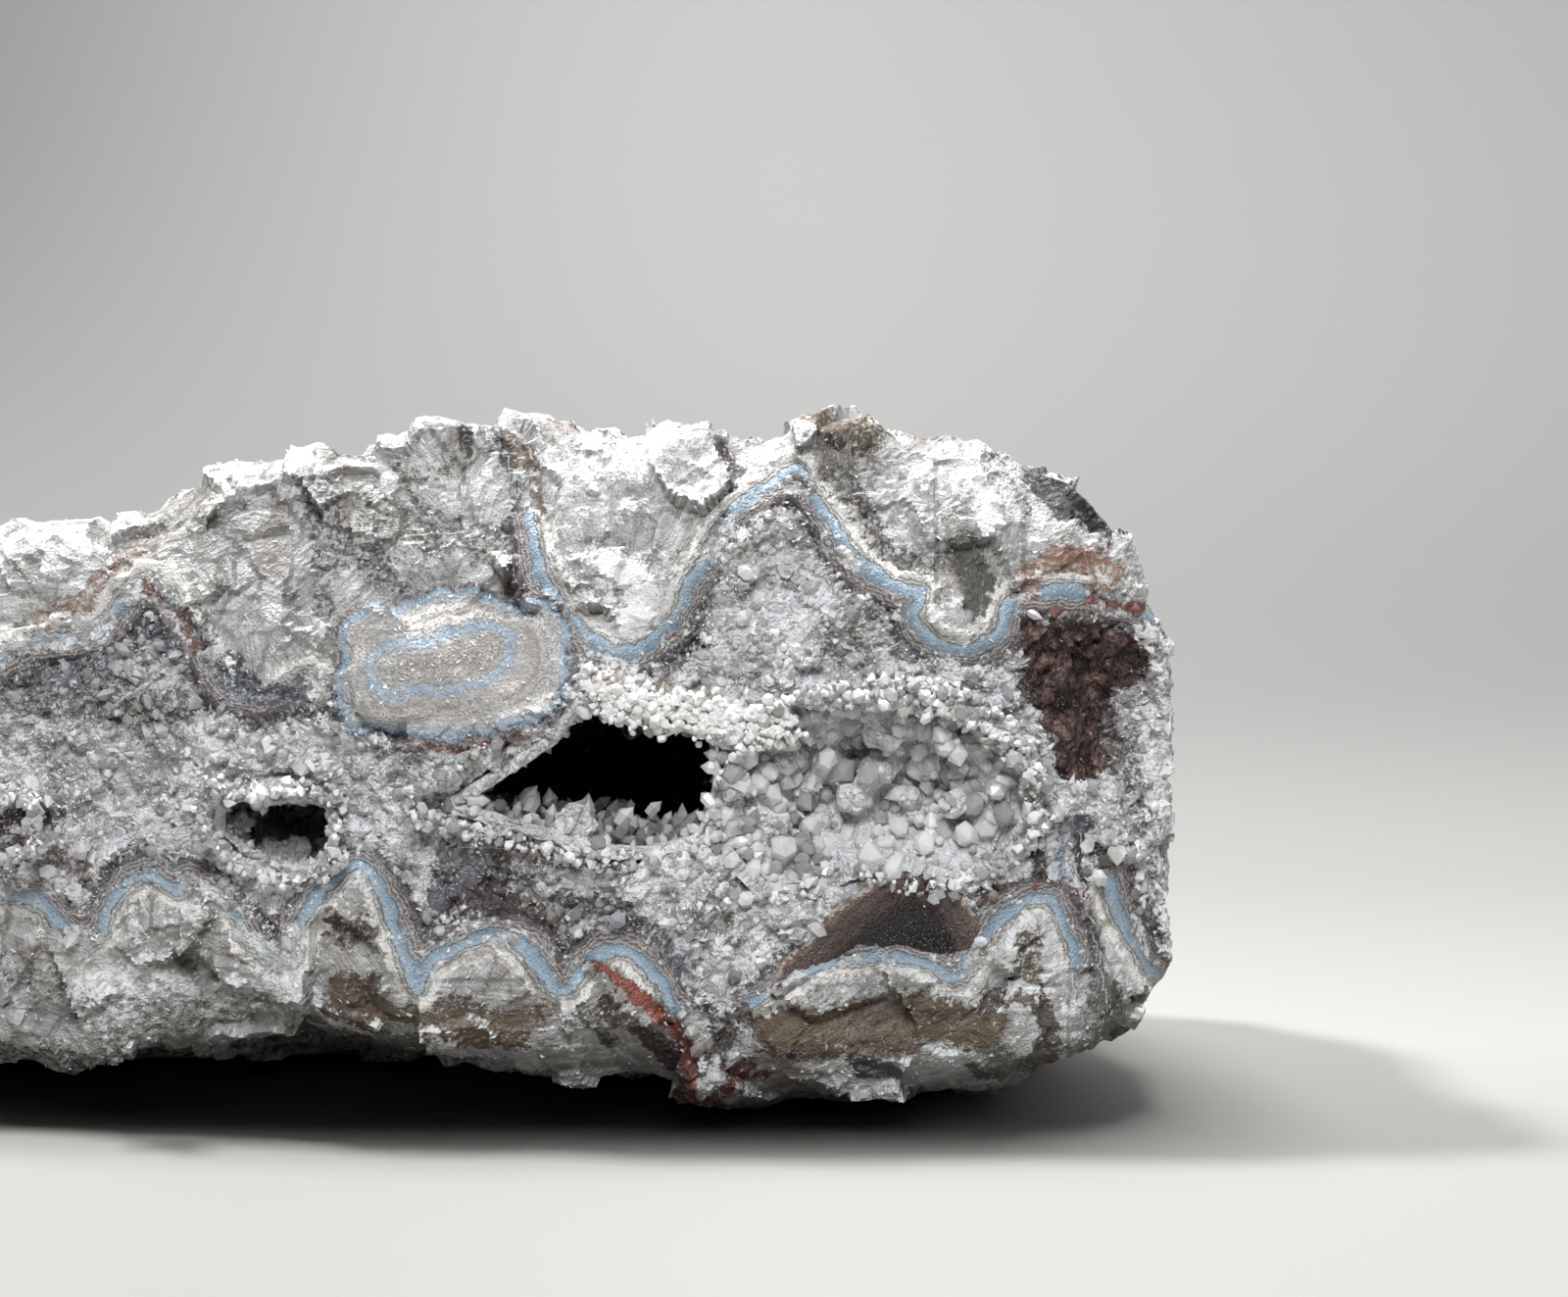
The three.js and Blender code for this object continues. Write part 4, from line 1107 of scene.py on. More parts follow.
def cloud(tree, places, size, detail=3.0, roughness=0.6, lowest=0.25, highest=0.75):
    """Noise with features of the size given in millimetres, spread from 0 to 1."""
    inputs = {"Vector": places, "Scale": 1 / size, "Detail": detail, "Roughness": roughness}
    return between(tree, node(tree, "ShaderNodeTexNoise", inputs).outputs[0], lowest, highest)


def cells(tree, places, size, feature="F1", output="Color"):
    inputs = {"Vector": places, "Scale": 1 / size}
    return node(tree, "ShaderNodeTexVoronoi", inputs, feature=feature).outputs[output]


def part_of(tree, vector, which):
    return node(tree, "ShaderNodeSeparateXYZ", {0: vector}).outputs[which]


def stored(tree, name, output="Fac"):
    return node(tree, "ShaderNodeAttribute", attribute_name=name).outputs[output]


def new_group(name, inputs, outputs):
    """A node group with the sockets given. Returns it with the outputs of its inputs and its last node."""
    group = bpy.data.node_groups.new(name, "ShaderNodeTree")
    for socket, kind in inputs.items():
        group.interface.new_socket(socket, in_out="INPUT", socket_type=kind)
    for socket, kind in outputs.items():
        group.interface.new_socket(socket, in_out="OUTPUT", socket_type=kind)
    return group, node(group, "NodeGroupInput").outputs, node(group, "NodeGroupOutput")


def use_group(tree, group, inputs):
    made = tree.nodes.new("ShaderNodeGroup")
    made.node_tree = group
    for name, source in inputs.items():
        if isinstance(source, bpy.types.NodeSocket):
            tree.links.new(source, made.inputs[name])
        else:
            made.inputs[name].default_value = source
    return made.outputs


VALUE = "NodeSocketFloat"
VECTOR = "NodeSocketVector"
COLOUR = "NodeSocketColor"


def sugary_quartz():
    """Clear, grey and white grains, each with its own tone."""
    tree, given, result = new_group("sugary_quartz", {"Places": VECTOR}, {"Colour": COLOUR, "Height": VALUE})
    coarse = part_of(tree, cells(tree, given["Places"], 1.5), 0)
    fine = part_of(tree, cells(tree, given["Places"], 0.55), 1)
    area = cloud(tree, given["Places"], 8.0, 4.0)
    tone = calculate(tree, "MULTIPLY_ADD", coarse, 0.36, calculate(tree, "MULTIPLY", fine, 0.26))
    tone = calculate(tree, "MULTIPLY_ADD", area, 0.42, tone)
    colour = ramp(tree, tone, [
        (0.08, (0.36, 0.32, 0.30)), (0.24, (0.54, 0.52, 0.50)), (0.40, (0.67, 0.66, 0.66)),
        (0.56, (0.78, 0.78, 0.79)), (0.74, (0.89, 0.89, 0.90)), (0.92, (0.97, 0.97, 0.97)),
    ])
    edges = cells(tree, given["Places"], 1.5, "DISTANCE_TO_EDGE", "Distance")
    small_edges = cells(tree, given["Places"], 0.55, "DISTANCE_TO_EDGE", "Distance")
    height = calculate(tree, "ADD", between(tree, edges, 0.0, 0.25), between(tree, small_edges, 0.0, 0.3, 0, 0.5))
    height = calculate(tree, "MULTIPLY_ADD", coarse, 0.9, height)
    tree.links.new(colour, result.inputs["Colour"])
    tree.links.new(height, result.inputs["Height"])
    return tree


def fibrous_calcite():
    """Glassy to white calcite, streaked along its fibres."""
    inputs = {"Places": VECTOR, "Fibre": VECTOR}
    tree, given, result = new_group("fibrous_calcite", inputs, {"Colour": COLOUR, "Height": VALUE})
    drawn = node(tree, "ShaderNodeVectorMath", {0: given["Fibre"], 1: (1.0, 0.11, 13.0)}, operation="MULTIPLY")
    streaks = cloud(tree, drawn.outputs[0], 0.9, 4.0, 0.65)
    threads = cloud(tree, drawn.outputs[0], 0.3, 2.0, 0.6, 0.3, 0.7)
    crystal = part_of(tree, given["Fibre"], 2)
    area = cloud(tree, given["Places"], 10.0, 5.0, 0.65)
    tone = calculate(tree, "MULTIPLY_ADD", streaks, 0.22, calculate(tree, "MULTIPLY", crystal, 0.10))
    tone = calculate(tree, "MULTIPLY_ADD", threads, 0.10, tone)
    tone = calculate(tree, "MULTIPLY_ADD", cloud(tree, given["Places"], 2.2, 5.0, 0.7), 0.22, tone)
    tone = calculate(tree, "MULTIPLY_ADD", area, 0.40, tone)
    colour = ramp(tree, tone, [
        (0.08, (0.27, 0.24, 0.22)), (0.24, (0.43, 0.41, 0.39)), (0.38, (0.58, 0.56, 0.55)),
        (0.52, (0.69, 0.69, 0.68)), (0.66, (0.82, 0.82, 0.82)), (0.84, (0.95, 0.95, 0.95)),
    ])
    smoky = cloud(tree, given["Places"], 5.0, 5.0, 0.7, 0.5, 0.68)
    smoky = calculate(tree, "MULTIPLY", smoky, between(tree, streaks, 0.9, 0.2, 0.35, 1.0))
    colour = blended(tree, calculate(tree, "MULTIPLY", smoky, 0.65), colour, (0.36, 0.33, 0.30))
    height = calculate(tree, "MULTIPLY_ADD", streaks, 0.6, calculate(tree, "MULTIPLY", threads, 0.4))
    tree.links.new(colour, result.inputs["Colour"])
    tree.links.new(height, result.inputs["Height"])
    return tree


BAND_REACH = (-5.0, 3.0)  # how far below and above a band's middle its colours go, in millimetres


def band_stops(stops):
    low, high = BAND_REACH
    return [((distance - low) / (high - low), colour) for distance, colour in stops]


def chalcedony_band():
    """A blue band with a cream rim on the calcite's side and fine laminations on the quartz's side."""
    inputs = {"Places": VECTOR, "Distance": VALUE}
    outputs = {"Colour": COLOUR, "Cover": VALUE, "Band": VALUE}
    tree, given, result = new_group("chalcedony_band", inputs, outputs)
    wander = calculate(tree, "SUBTRACT", cloud(tree, given["Places"], 4.0, 3.0), 0.5)
    fine = calculate(tree, "SUBTRACT", cloud(tree, given["Places"], 0.8, 3.0), 0.5)
    spread = calculate(tree, "SUBTRACT", cloud(tree, given["Places"], 7.0, 2.0), 0.5)
    moved = calculate(tree, "MULTIPLY_ADD", wander, 0.75, given["Distance"])
    moved = calculate(tree, "MULTIPLY_ADD", fine, 0.3, moved)
    low, high = BAND_REACH
    straight = node(tree, "ShaderNodeMapRange", {0: moved, 1: low, 2: high}).outputs[0]
    colour = ramp(tree, straight, band_stops([
        (-4.0, (0.52, 0.50, 0.48)), (-3.3, (0.36, 0.34, 0.34)), (-2.5, (0.28, 0.26, 0.27)),
        (-2.15, (0.46, 0.43, 0.43)), (-1.95, (0.30, 0.26, 0.27)), (-1.72, (0.66, 0.63, 0.61)),
        (-1.52, (0.36, 0.31, 0.32)), (-1.32, (0.72, 0.70, 0.68)), (-1.12, (0.40, 0.36, 0.37)),
        (-0.92, (0.70, 0.69, 0.69)), (-0.76, (0.50, 0.52, 0.54)), (-0.56, (0.54, 0.61, 0.67)),
        (-0.1, (0.62, 0.69, 0.75)), (0.28, (0.68, 0.74, 0.79)), (0.46, (0.60, 0.65, 0.69)),
        (0.58, (0.44, 0.43, 0.43)), (0.74, (0.84, 0.83, 0.81)), (0.94, (0.56, 0.52, 0.49)),
        (1.14, (0.90, 0.89, 0.87)), (1.75, (0.96, 0.95, 0.94)), (2.2, (0.82, 0.79, 0.75)),
    ]))
    frayed = calculate(tree, "MULTIPLY_ADD", fine, 1.4, moved)
    inner = between(tree, calculate(tree, "MULTIPLY_ADD", spread, 1.8, frayed), -3.3, -2.2)
    outer = between(tree, calculate(tree, "MULTIPLY_ADD", spread, 0.9, frayed), 1.7, 2.2, 1.0, 0.0)
    cover = calculate(tree, "MULTIPLY", inner, outer)
    band = calculate(tree, "MULTIPLY", between(tree, moved, -0.8, -0.6),
                     between(tree, moved, 0.45, 0.6, 1.0, 0.0))
    sugar = cloud(tree, given["Places"], 0.45, 3.0, 0.7, 0.5, 0.66)
    sugar = calculate(tree, "MULTIPLY", sugar, cloud(tree, given["Places"], 2.6, 3.0, 0.6, 0.4, 0.7))
    colour = blended(tree, calculate(tree, "MULTIPLY", sugar, 0.75), colour, (0.84, 0.86, 0.88))
    clouded = cloud(tree, given["Places"], 1.6, 4.0, 0.65, 0.2, 0.8)
    colour = blended(tree, calculate(tree, "MULTIPLY", clouded, 0.5), colour, (0.40, 0.42, 0.45), "SOFT_LIGHT")
    tree.links.new(colour, result.inputs["Colour"])
    tree.links.new(cover, result.inputs["Cover"])
    tree.links.new(band, result.inputs["Band"])
    return tree


def eye_rings():
    """The rings of the oval eye: blue-grey outside, then beige laminations, then a blue ring round its core."""
    inputs = {"Places": VECTOR, "Outer": VALUE, "Core": VALUE}
    tree, given, result = new_group("eye_rings", inputs, {"Colour": COLOUR, "Cover": VALUE})
    wander = calculate(tree, "SUBTRACT", cloud(tree, given["Places"], 3.0, 3.0), 0.5)
    fine = calculate(tree, "SUBTRACT", cloud(tree, given["Places"], 0.8, 3.0), 0.5)
    wander = calculate(tree, "MULTIPLY_ADD", fine, 0.6, wander)
    outer = calculate(tree, "MULTIPLY_ADD", wander, 0.8, given["Outer"])
    core = calculate(tree, "MULTIPLY_ADD", wander, 0.7, given["Core"])
    share = calculate(tree, "MULTIPLY_ADD", outer, 0.2, 0.2, clamp=True)
    rings = ramp(tree, share, [
        (0.0, (0.38, 0.33, 0.33)), (0.09, (0.46, 0.42, 0.42)), (0.13, (0.32, 0.30, 0.33)),
        (0.16, (0.46, 0.54, 0.63)), (0.27, (0.66, 0.74, 0.80)), (0.33, (0.60, 0.65, 0.69)),
        (0.38, (0.82, 0.81, 0.80)), (0.43, (0.68, 0.66, 0.65)), (0.48, (0.82, 0.80, 0.79)),
        (0.53, (0.66, 0.64, 0.63)), (0.58, (0.82, 0.80, 0.78)), (0.65, (0.64, 0.62, 0.61)),
        (0.72, (0.79, 0.77, 0.75)), (0.80, (0.62, 0.60, 0.59)), (0.9, (0.74, 0.72, 0.70)),
    ])
    middle = calculate(tree, "MULTIPLY_ADD", core, 0.25, 0.4, clamp=True)
    centre = ramp(tree, middle, [
        (0.10, (0.74, 0.72, 0.70)), (0.20, (0.58, 0.59, 0.61)), (0.28, (0.62, 0.69, 0.76)),
        (0.46, (0.68, 0.75, 0.81)), (0.54, (0.58, 0.59, 0.60)), (0.61, (0.76, 0.74, 0.72)),
        (0.68, (0.58, 0.56, 0.54)), (0.76, (0.74, 0.71, 0.69)), (0.88, (0.60, 0.58, 0.56)),
    ])
    colour = blended(tree, between(tree, core, -0.85, -0.55), rings, centre)
    sugar = cloud(tree, given["Places"], 0.5, 3.0, 0.7, 0.46, 0.62)
    colour = blended(tree, calculate(tree, "MULTIPLY", sugar, 0.5), colour, (0.83, 0.83, 0.84))
    smudge = cloud(tree, given["Places"], 1.8, 4.0, 0.65, 0.35, 0.85)
    colour = blended(tree, calculate(tree, "MULTIPLY", smudge, 0.4), colour, (0.50, 0.48, 0.47))
    cover = between(tree, outer, -0.9, -0.5)
    tree.links.new(colour, result.inputs["Colour"])
    tree.links.new(cover, result.inputs["Cover"])
    return tree


def white_crust():
    """White powder and fine white specks in ragged patches, more on what stands out and faces up, which is partly
    painted highlight.
    """
    inputs = {"Places": VECTOR, "Relief": VALUE, "Upward": VALUE, "Amount": VALUE}
    tree, given, result = new_group("white_crust", inputs, {"Cover": VALUE, "Height": VALUE})
    broad = cloud(tree, given["Places"], 6.0, 5.0, 0.7)
    fine = cloud(tree, given["Places"], 1.3, 5.0, 0.75)
    total = calculate(tree, "MULTIPLY_ADD", fine, 0.75, broad)
    # Partly painted highlight: raised parts and faces turned up get more white, as where light from above falls.
    total = calculate(tree, "MULTIPLY_ADD", given["Relief"], 0.28, total)
    total = calculate(tree, "MULTIPLY_ADD", given["Upward"], 0.2, total)
    total = calculate(tree, "ADD", given["Amount"], total)
    patches = between(tree, total, 1.12, 1.42)
    distance = cells(tree, given["Places"], 0.7, "F1", "Distance")
    pick = part_of(tree, cells(tree, given["Places"], 0.7), 2)
    specks = calculate(tree, "MULTIPLY", between(tree, distance, 0.42, 0.25), between(tree, pick, 0.80, 0.86))
    specks = calculate(tree, "MULTIPLY", specks, between(tree, total, 0.55, 1.0))
    cover = calculate(tree, "MAXIMUM", patches, calculate(tree, "MULTIPLY", specks, 0.85))
    tree.links.new(cover, result.inputs["Cover"])
    tree.links.new(calculate(tree, "MULTIPLY", cover, fine), result.inputs["Height"])
    return tree


def new_material(name):
    material = bpy.data.materials.new(name)
    material.use_nodes = True
    tree = material.node_tree
    shader = tree.nodes["Principled BSDF"]
    return material, tree, shader


def soften(shader, radius):
    """Lets light spread under the surface, as it does in milky quartz. The radius is in millimetres."""
    shader.inputs["Subsurface Weight"].default_value = 0.6
    shader.inputs["Subsurface Radius"].default_value = (radius, radius, radius)
    shader.inputs["Subsurface Scale"].default_value = MM


def object_millimetres(tree):
    coordinates = node(tree, "ShaderNodeTexCoord").outputs["Object"]
    scaled = node(tree, "ShaderNodeVectorMath", {0: coordinates, "Scale": 1 / MM}, operation="SCALE")
    return scaled.outputs[0]


def stone_material(groups):
    material, tree, shader = new_material("lace agate")
    places = object_millimetres(tree)
    quartz = use_group(tree, groups["quartz"], {"Places": places})
    calcite = use_group(tree, groups["calcite"], {"Places": places, "Fibre": stored(tree, "fibre", "Vector")})
    rough_edge = calculate(tree, "SUBTRACT", cloud(tree, places, 1.2, 2.0), 0.5)
    is_quartz = between(tree, calculate(tree, "MULTIPLY_ADD", rough_edge, 0.5, stored(tree, "quartz")), 0.4, 0.6)
    colour = blended(tree, is_quartz, calcite["Colour"], quartz["Colour"])
    tint = stored(tree, "tint", "Color")
    painted = stored(tree, "tint", "Alpha")
    grit = cloud(tree, places, 0.7, 4.0, 0.7)
    cover = between(tree, calculate(tree, "MULTIPLY_ADD", grit, -0.75, painted), 0.0, 0.4, 0.0, 0.9)
    toned = blended(tree, 1.0, tint, colour, "MULTIPLY")
    toned = blended(tree, 0.5, toned, tint)
    colour = blended(tree, cover, colour, toned)
    band = use_group(tree, groups["band"], {"Places": places, "Distance": stored(tree, "band")})
    ragged = cloud(tree, places, 1.1, 4.0, 0.7)
    veil = between(tree, calculate(tree, "MULTIPLY_ADD", ragged, 0.8, stored(tree, "veil")), 0.66, 0.84)
    banded = calculate(tree, "MULTIPLY", band["Cover"], calculate(tree, "SUBTRACT", 1.0, veil))
    colour = blended(tree, banded, colour, band["Colour"])
    eye = use_group(tree, groups["eye"], {
        "Places": places, "Outer": stored(tree, "eye"), "Core": stored(tree, "core"),
    })
    colour = blended(tree, eye["Cover"], colour, eye["Colour"])
    depth = calculate(tree, "MULTIPLY_ADD", rough_edge, 0.8, stored(tree, "wedge_depth"))
    streak = calculate(tree, "SINE", calculate(tree, "MULTIPLY", depth, 17.0))
    depth = calculate(tree, "MULTIPLY_ADD", streak, 0.16, depth)
    wedge_colour = ramp(tree, calculate(tree, "MULTIPLY", depth, 0.125), [
        (0.0, (0.76, 0.72, 0.68)), (0.04, (0.56, 0.50, 0.47)), (0.08, (0.38, 0.32, 0.30)),
        (0.16, (0.31, 0.25, 0.23)), (0.22, (0.36, 0.30, 0.28)), (0.29, (0.24, 0.19, 0.18)),
        (0.35, (0.30, 0.24, 0.22)), (0.43, (0.13, 0.10, 0.10)), (0.58, (0.08, 0.06, 0.06)),
        (1.0, (0.11, 0.08, 0.08)),
    ])
    is_wedge = between(tree, calculate(tree, "MULTIPLY_ADD", rough_edge, 0.4, stored(tree, "wedge")), -0.1, 0.1)
    colour = blended(tree, is_wedge, colour, wedge_colour)
    # Painted shade: the pit's brown darkens away from each knob's middle, as shade in the creases between knobs.
    knobs = cells(tree, places, 1.1, "F1", "Distance")
    pit_tone = calculate(tree, "MULTIPLY_ADD", knobs, -0.5, cloud(tree, places, 2.4, 4.0, 0.7, 0.2, 0.9))
    pit_colour = ramp(tree, pit_tone, [
        (0.0, (0.16, 0.11, 0.10)), (0.2, (0.33, 0.24, 0.22)), (0.42, (0.46, 0.37, 0.35)),
        (0.7, (0.60, 0.54, 0.52)),
    ])
    is_pit = between(tree, calculate(tree, "MULTIPLY_ADD", rough_edge, 1.6, stored(tree, "pit")), 0.1, 0.7)
    colour = blended(tree, is_pit, colour, pit_colour)
    still = calculate(tree, "MAXIMUM", calculate(tree, "MAXIMUM", band["Band"], eye["Cover"]), is_wedge)
    normal = node(tree, "ShaderNodeNewGeometry").outputs["Normal"]
    amount = calculate(tree, "MULTIPLY_ADD", is_wedge, -0.5, calculate(tree, "MULTIPLY", still, -0.28))
    amount = calculate(tree, "MULTIPLY_ADD", is_pit, -0.9, amount)
    amount = calculate(tree, "MULTIPLY_ADD", cover, -0.3, amount)
    amount = calculate(tree, "MULTIPLY_ADD", stored(tree, "powder"), 0.6, amount)
    crust = use_group(tree, groups["crust"], {
        "Places": places, "Relief": stored(tree, "relief"), "Upward": part_of(tree, normal, 2), "Amount": amount,
    })
    colour = blended(tree, crust["Cover"], colour, (0.955, 0.955, 0.955))
    height = node(tree, "ShaderNodeMix", {0: is_quartz, 2: calcite["Height"], 3: quartz["Height"]},
                  data_type="FLOAT").outputs[0]
    height = calculate(tree, "MULTIPLY", height, between(tree, still, 0.0, 1.0, 1.0, 0.15))
    height = calculate(tree, "MULTIPLY_ADD", crust["Height"], 1.2, height)
    sugar = between(tree, cells(tree, places, 0.35, "F1", "Distance"), 0.1, 0.6, 0.7, 0.0)
    height = calculate(tree, "ADD", height, sugar)
    bump = node(tree, "ShaderNodeBump", {"Height": height, "Strength": 0.7, "Distance": 0.22 * MM})
    roughness = calculate(tree, "MULTIPLY_ADD", crust["Cover"], 0.3, between(tree, still, 0.0, 1.0, 0.5, 0.3))
    tree.links.new(colour, shader.inputs["Base Color"])
    tree.links.new(roughness, shader.inputs["Roughness"])
    tree.links.new(bump.outputs[0], shader.inputs["Normal"])
    shader.inputs["IOR"].default_value = 1.54
    return material


def crystal_material(name, light, dark, transmission, roughness):
    """Quartz crystals from a light to a darker tone, with painted shade inside the large hollow."""
    material, tree, shader = new_material(name)
    places = object_millimetres(tree)
    tone = calculate(tree, "MULTIPLY_ADD", cloud(tree, places, 1.6), 0.5, stored(tree, "tone"))
    colour = blended(tree, between(tree, tone, 0.2, 1.2), dark, light)
    # Painted shade: darkened by the stored shade inside the large hollow.
    colour = blended(tree, stored(tree, "shade"), colour, (0.16, 0.13, 0.12))
    bump = node(tree, "ShaderNodeBump", {"Height": cloud(tree, places, 0.6), "Strength": 0.3, "Distance": 0.1 * MM})
    tree.links.new(colour, shader.inputs["Base Color"])
    tree.links.new(bump.outputs[0], shader.inputs["Normal"])
    soften(shader, 1.4)
    shader.inputs["Transmission Weight"].default_value = transmission
    shader.inputs["Roughness"].default_value = roughness
    shader.inputs["IOR"].default_value = 1.54
    return material


def grain_material(name, light, dark, transmission, roughness):
    """Quartz grains from white to clear, tinted like the stone they lie on."""
    material, tree, shader = new_material(name)
    places = object_millimetres(tree)
    tone = calculate(tree, "MULTIPLY_ADD", cloud(tree, places, 3.0), 0.6, stored(tree, "tone"))
    colour = blended(tree, between(tree, tone, 0.2, 1.25), dark, light)
    painted = stored(tree, "tint", "Alpha")
    tint = stored(tree, "tint", "Color")
    colour = blended(tree, calculate(tree, "MULTIPLY", painted, 0.9), colour, tint)
    # Painted shade: darkened by the stored shade inside the large hollow.
    colour = blended(tree, stored(tree, "shade"), colour, (0.16, 0.13, 0.12))
    tree.links.new(colour, shader.inputs["Base Color"])
    shader.inputs["Transmission Weight"].default_value = transmission
    shader.inputs["Roughness"].default_value = roughness
    shader.inputs["IOR"].default_value = 1.54
    return material


def crust_material(groups):
    material, tree, shader = new_material("crystal crust")
    places = object_millimetres(tree)
    quartz = use_group(tree, groups["quartz"], {"Places": places})
    colour = blended(tree, 0.45, quartz["Colour"], (0.93, 0.93, 0.93))
    # Painted shade: darkened by the stored shade deep inside the large hollow.
    colour = blended(tree, stored(tree, "shade"), colour, (0.10, 0.075, 0.065))
    bump = node(tree, "ShaderNodeBump", {"Height": quartz["Height"], "Strength": 0.8, "Distance": 0.25 * MM})
    tree.links.new(colour, shader.inputs["Base Color"])
    tree.links.new(bump.outputs[0], shader.inputs["Normal"])
    shader.inputs["Roughness"].default_value = 0.35
    shader.inputs["IOR"].default_value = 1.54
    return material


# The table, the backdrop and the light

FLOOR_FAR = 240.0  # where the floor starts to rise behind the face
FLOOR_NEAR = -420.0
FLOOR_SIDE = 700.0
BEND = 260.0
WALL_TOP = 620.0


def make_floor():
    """One smooth sheet that lies flat under the stone and rises behind it."""
    steps = 24
    profile = [(FLOOR_NEAR, 0.0), (FACE_Y + FLOOR_FAR, 0.0)]
    for i in range(1, steps + 1):
        turn = i / steps * math.pi / 2
        profile.append((FACE_Y + FLOOR_FAR + BEND * math.sin(turn), BEND * (1 - math.cos(turn))))
    profile.append((profile[-1][0], WALL_TOP))
    form = bmesh.new()
    rows = []
    for y, z in profile:
        rows.append([form.verts.new((x * MM, y * MM, z * MM)) for x in (-FLOOR_SIDE, FLOOR_SIDE)])
    for near, far in zip(rows, rows[1:]):
        form.faces.new((near[0], near[1], far[1], far[0])).smooth = True
    mesh = bpy.data.meshes.new("table_and_backdrop")
    form.to_mesh(mesh)
    form.free()
    material, tree, shader = new_material("pale card")
    places = object_millimetres(tree)
    far = node(tree, "ShaderNodeMapRange", {0: part_of(tree, places, 1), 1: FACE_Y, 2: FACE_Y + 500.0}).outputs[0]
    colour = ramp(tree, far, [
        (0.0, (0.865, 0.86, 0.845)), (0.08, (0.895, 0.89, 0.875)), (0.26, (0.80, 0.80, 0.785)),
        (0.57, (0.725, 0.728, 0.722)), (1.0, (0.74, 0.742, 0.742)),
    ])
    # Painted shade: the floor darkens towards the left.
    painted_shade_to_left = between(tree, part_of(tree, places, 0), 60.0, -20.0, 0.0, 0.2)
    colour = blended(tree, painted_shade_to_left, colour, (0.5, 0.495, 0.485))
    # Painted light and shade on the backdrop: dark on the left, light to the right.
    painted_light_to_right = between(tree, part_of(tree, places, 0), -230.0, 60.0)
    wall = blended(tree, painted_light_to_right, (0.50, 0.502, 0.502), (0.82, 0.822, 0.822))
    colour = blended(tree, between(tree, far, 0.6, 0.95), colour, wall)
    # Painted shadow: the floor under the stone's front overhang is darkened.
    under = between(tree, part_of(tree, places, 1), FACE_Y - 1.0, FACE_Y + 5.0)
    under = calculate(tree, "MULTIPLY", under, between(tree, part_of(tree, places, 1), 4.0, 12.0, 1.0, 0.0))
    under = calculate(tree, "MULTIPLY", under, between(tree, part_of(tree, places, 0), -82.0, -74.0))
    under = calculate(tree, "MULTIPLY", under, between(tree, part_of(tree, places, 0), 48.0, 66.0, 1.0, 0.0))
    colour = blended(tree, calculate(tree, "MULTIPLY", under, 0.9), colour, (0.36, 0.35, 0.33))
    tree.links.new(colour, shader.inputs["Base Color"])
    shader.inputs["Roughness"].default_value = 0.9
    floor = link_piece("table_and_backdrop", mesh, [material])
    return floor


def area_light(name, place, target, size, power, tint=(1.0, 1.0, 1.0)):
    data = bpy.data.lights.new(name, "AREA")
    data.shape = "RECTANGLE"
    data.size, data.size_y = size[0] * MM, size[1] * MM
    data.energy = power
    data.color = tint
    light = bpy.data.objects.new(name, data)
    bpy.context.collection.objects.link(light)
    light.location = Vector(place) * MM
    light.rotation_euler = (Vector(target) - Vector(place)).to_track_quat("-Z", "Y").to_euler()
    return light


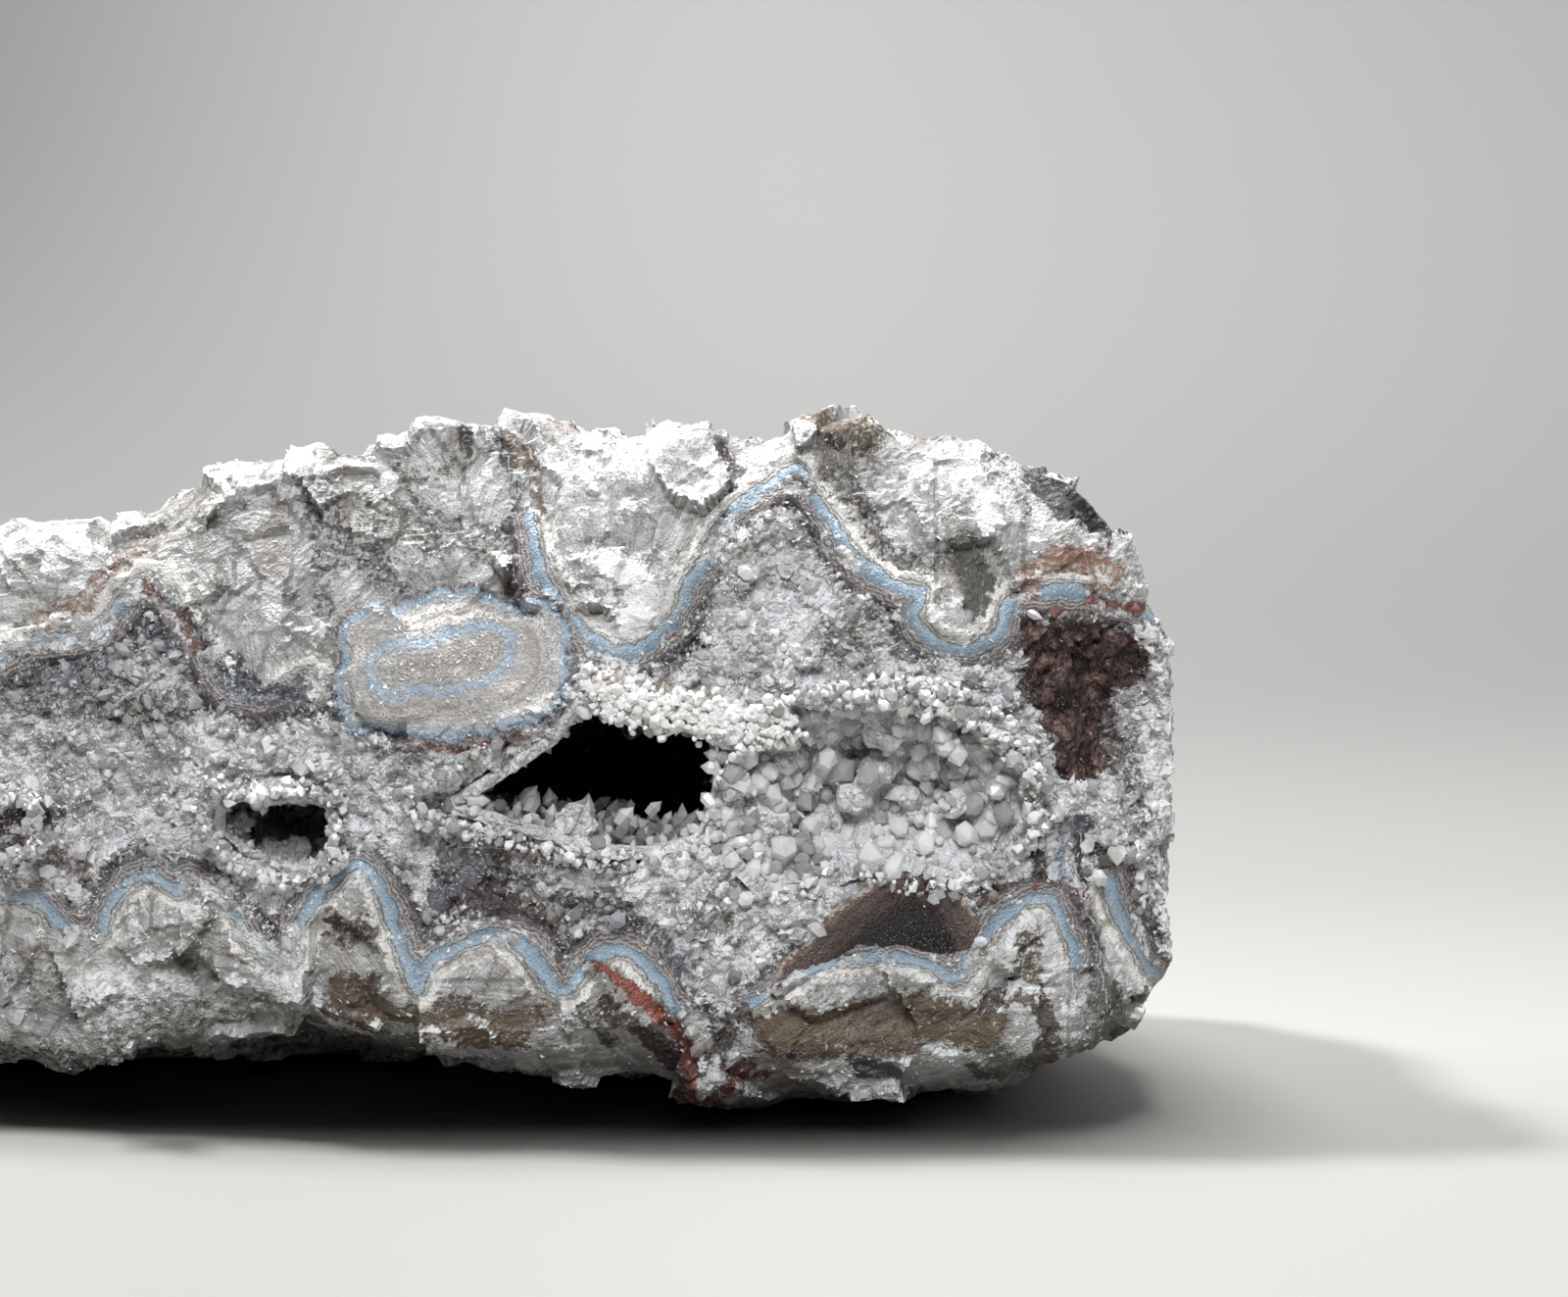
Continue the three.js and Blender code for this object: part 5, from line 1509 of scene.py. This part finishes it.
def light_scene(stone_pieces):
    area_light("key", (-330, 85, 620), (10, 0, 30), (70, 70), 3.0, (1.0, 0.99, 0.97))
    area_light("overhead", (20, 95, 700), (0, 20, 0), (420, 180), 2.9, (1.0, 1.0, 1.0))
    front = area_light("front", (40, -480, 560), (10, -20, 40), (300, 220), 4.5, (0.955, 0.98, 1.0))
    lit = bpy.data.collections.new("lit from the front")
    for piece in stone_pieces:
        lit.objects.link(piece)
    front.light_linking.receiver_collection = lit
    world = bpy.data.worlds.new("room")
    bpy.context.scene.world = world
    world.use_nodes = True
    tree = world.node_tree
    background = tree.nodes["Background"]
    direction = node(tree, "ShaderNodeTexCoord").outputs["Generated"]
    from_above = between(tree, part_of(tree, direction, 2), 0.2, 0.95, 0.02, 0.62)
    from_behind = between(tree, part_of(tree, direction, 1), -0.35, 0.25, 0.04, 1.0)
    tree.links.new(calculate(tree, "MULTIPLY", from_above, from_behind), background.inputs["Strength"])
    background.inputs["Color"].default_value = (0.97, 0.985, 1.0, 1)
    scene = bpy.context.scene
    scene.view_settings.view_transform = "Standard"
    scene.view_settings.look = "None"


# Everything together

def make_stone():
    groups = {
        "quartz": sugary_quartz(),
        "calcite": fibrous_calcite(),
        "band": chalcedony_band(),
        "eye": eye_rings(),
        "crust": white_crust(),
    }
    rock, fields = make_rock(stone_material(groups))
    crust = crust_material(groups)
    clear = crystal_material("clear quartz", (0.97, 0.97, 0.98), (0.84, 0.84, 0.84), 0.6, 0.1)
    milky = crystal_material("milky quartz", (0.98, 0.98, 0.98), (0.87, 0.87, 0.87), 0.1, 0.22)
    white = grain_material("white grains", (0.95, 0.95, 0.96), (0.72, 0.71, 0.69), 0.0, 0.5)
    glassy = grain_material("clear grains", (0.95, 0.95, 0.96), (0.78, 0.77, 0.75), 0.6, 0.15)
    large = make_druse("large_hollow", "large_hollow_crystals", [CHAMBER_MIDDLE, BOWL_MIDDLE], 1000,
                       (0.9, 3.0), (1.6, 4.4), [crust, clear, milky])
    small = make_druse("small_hollow", "small_hollow_crystals", [SMALL_MIDDLE], 220,
                       (0.7, 1.6), (1.2, 3.0), [crust, clear, milky])
    grains = make_grains("quartz_grains", rock, fields, 11000, 29, -1, [white, glassy])
    back_grains = make_grains("back_quartz_grains", rock, fields, 7000, 31, 1, [white, glassy])
    sugar = make_sugar(rock, fields, white)
    rims = make_rims([white, glassy])
    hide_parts("agate_stone")
    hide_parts("large_hollow_crystals")
    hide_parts("small_hollow_crystals")
    pieces = [rock, grains, back_grains, sugar, rims, *large, *small]
    for piece in pieces:
        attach(piece, "root")
    return pieces


light_scene(make_stone())
make_floor()
make_camera()
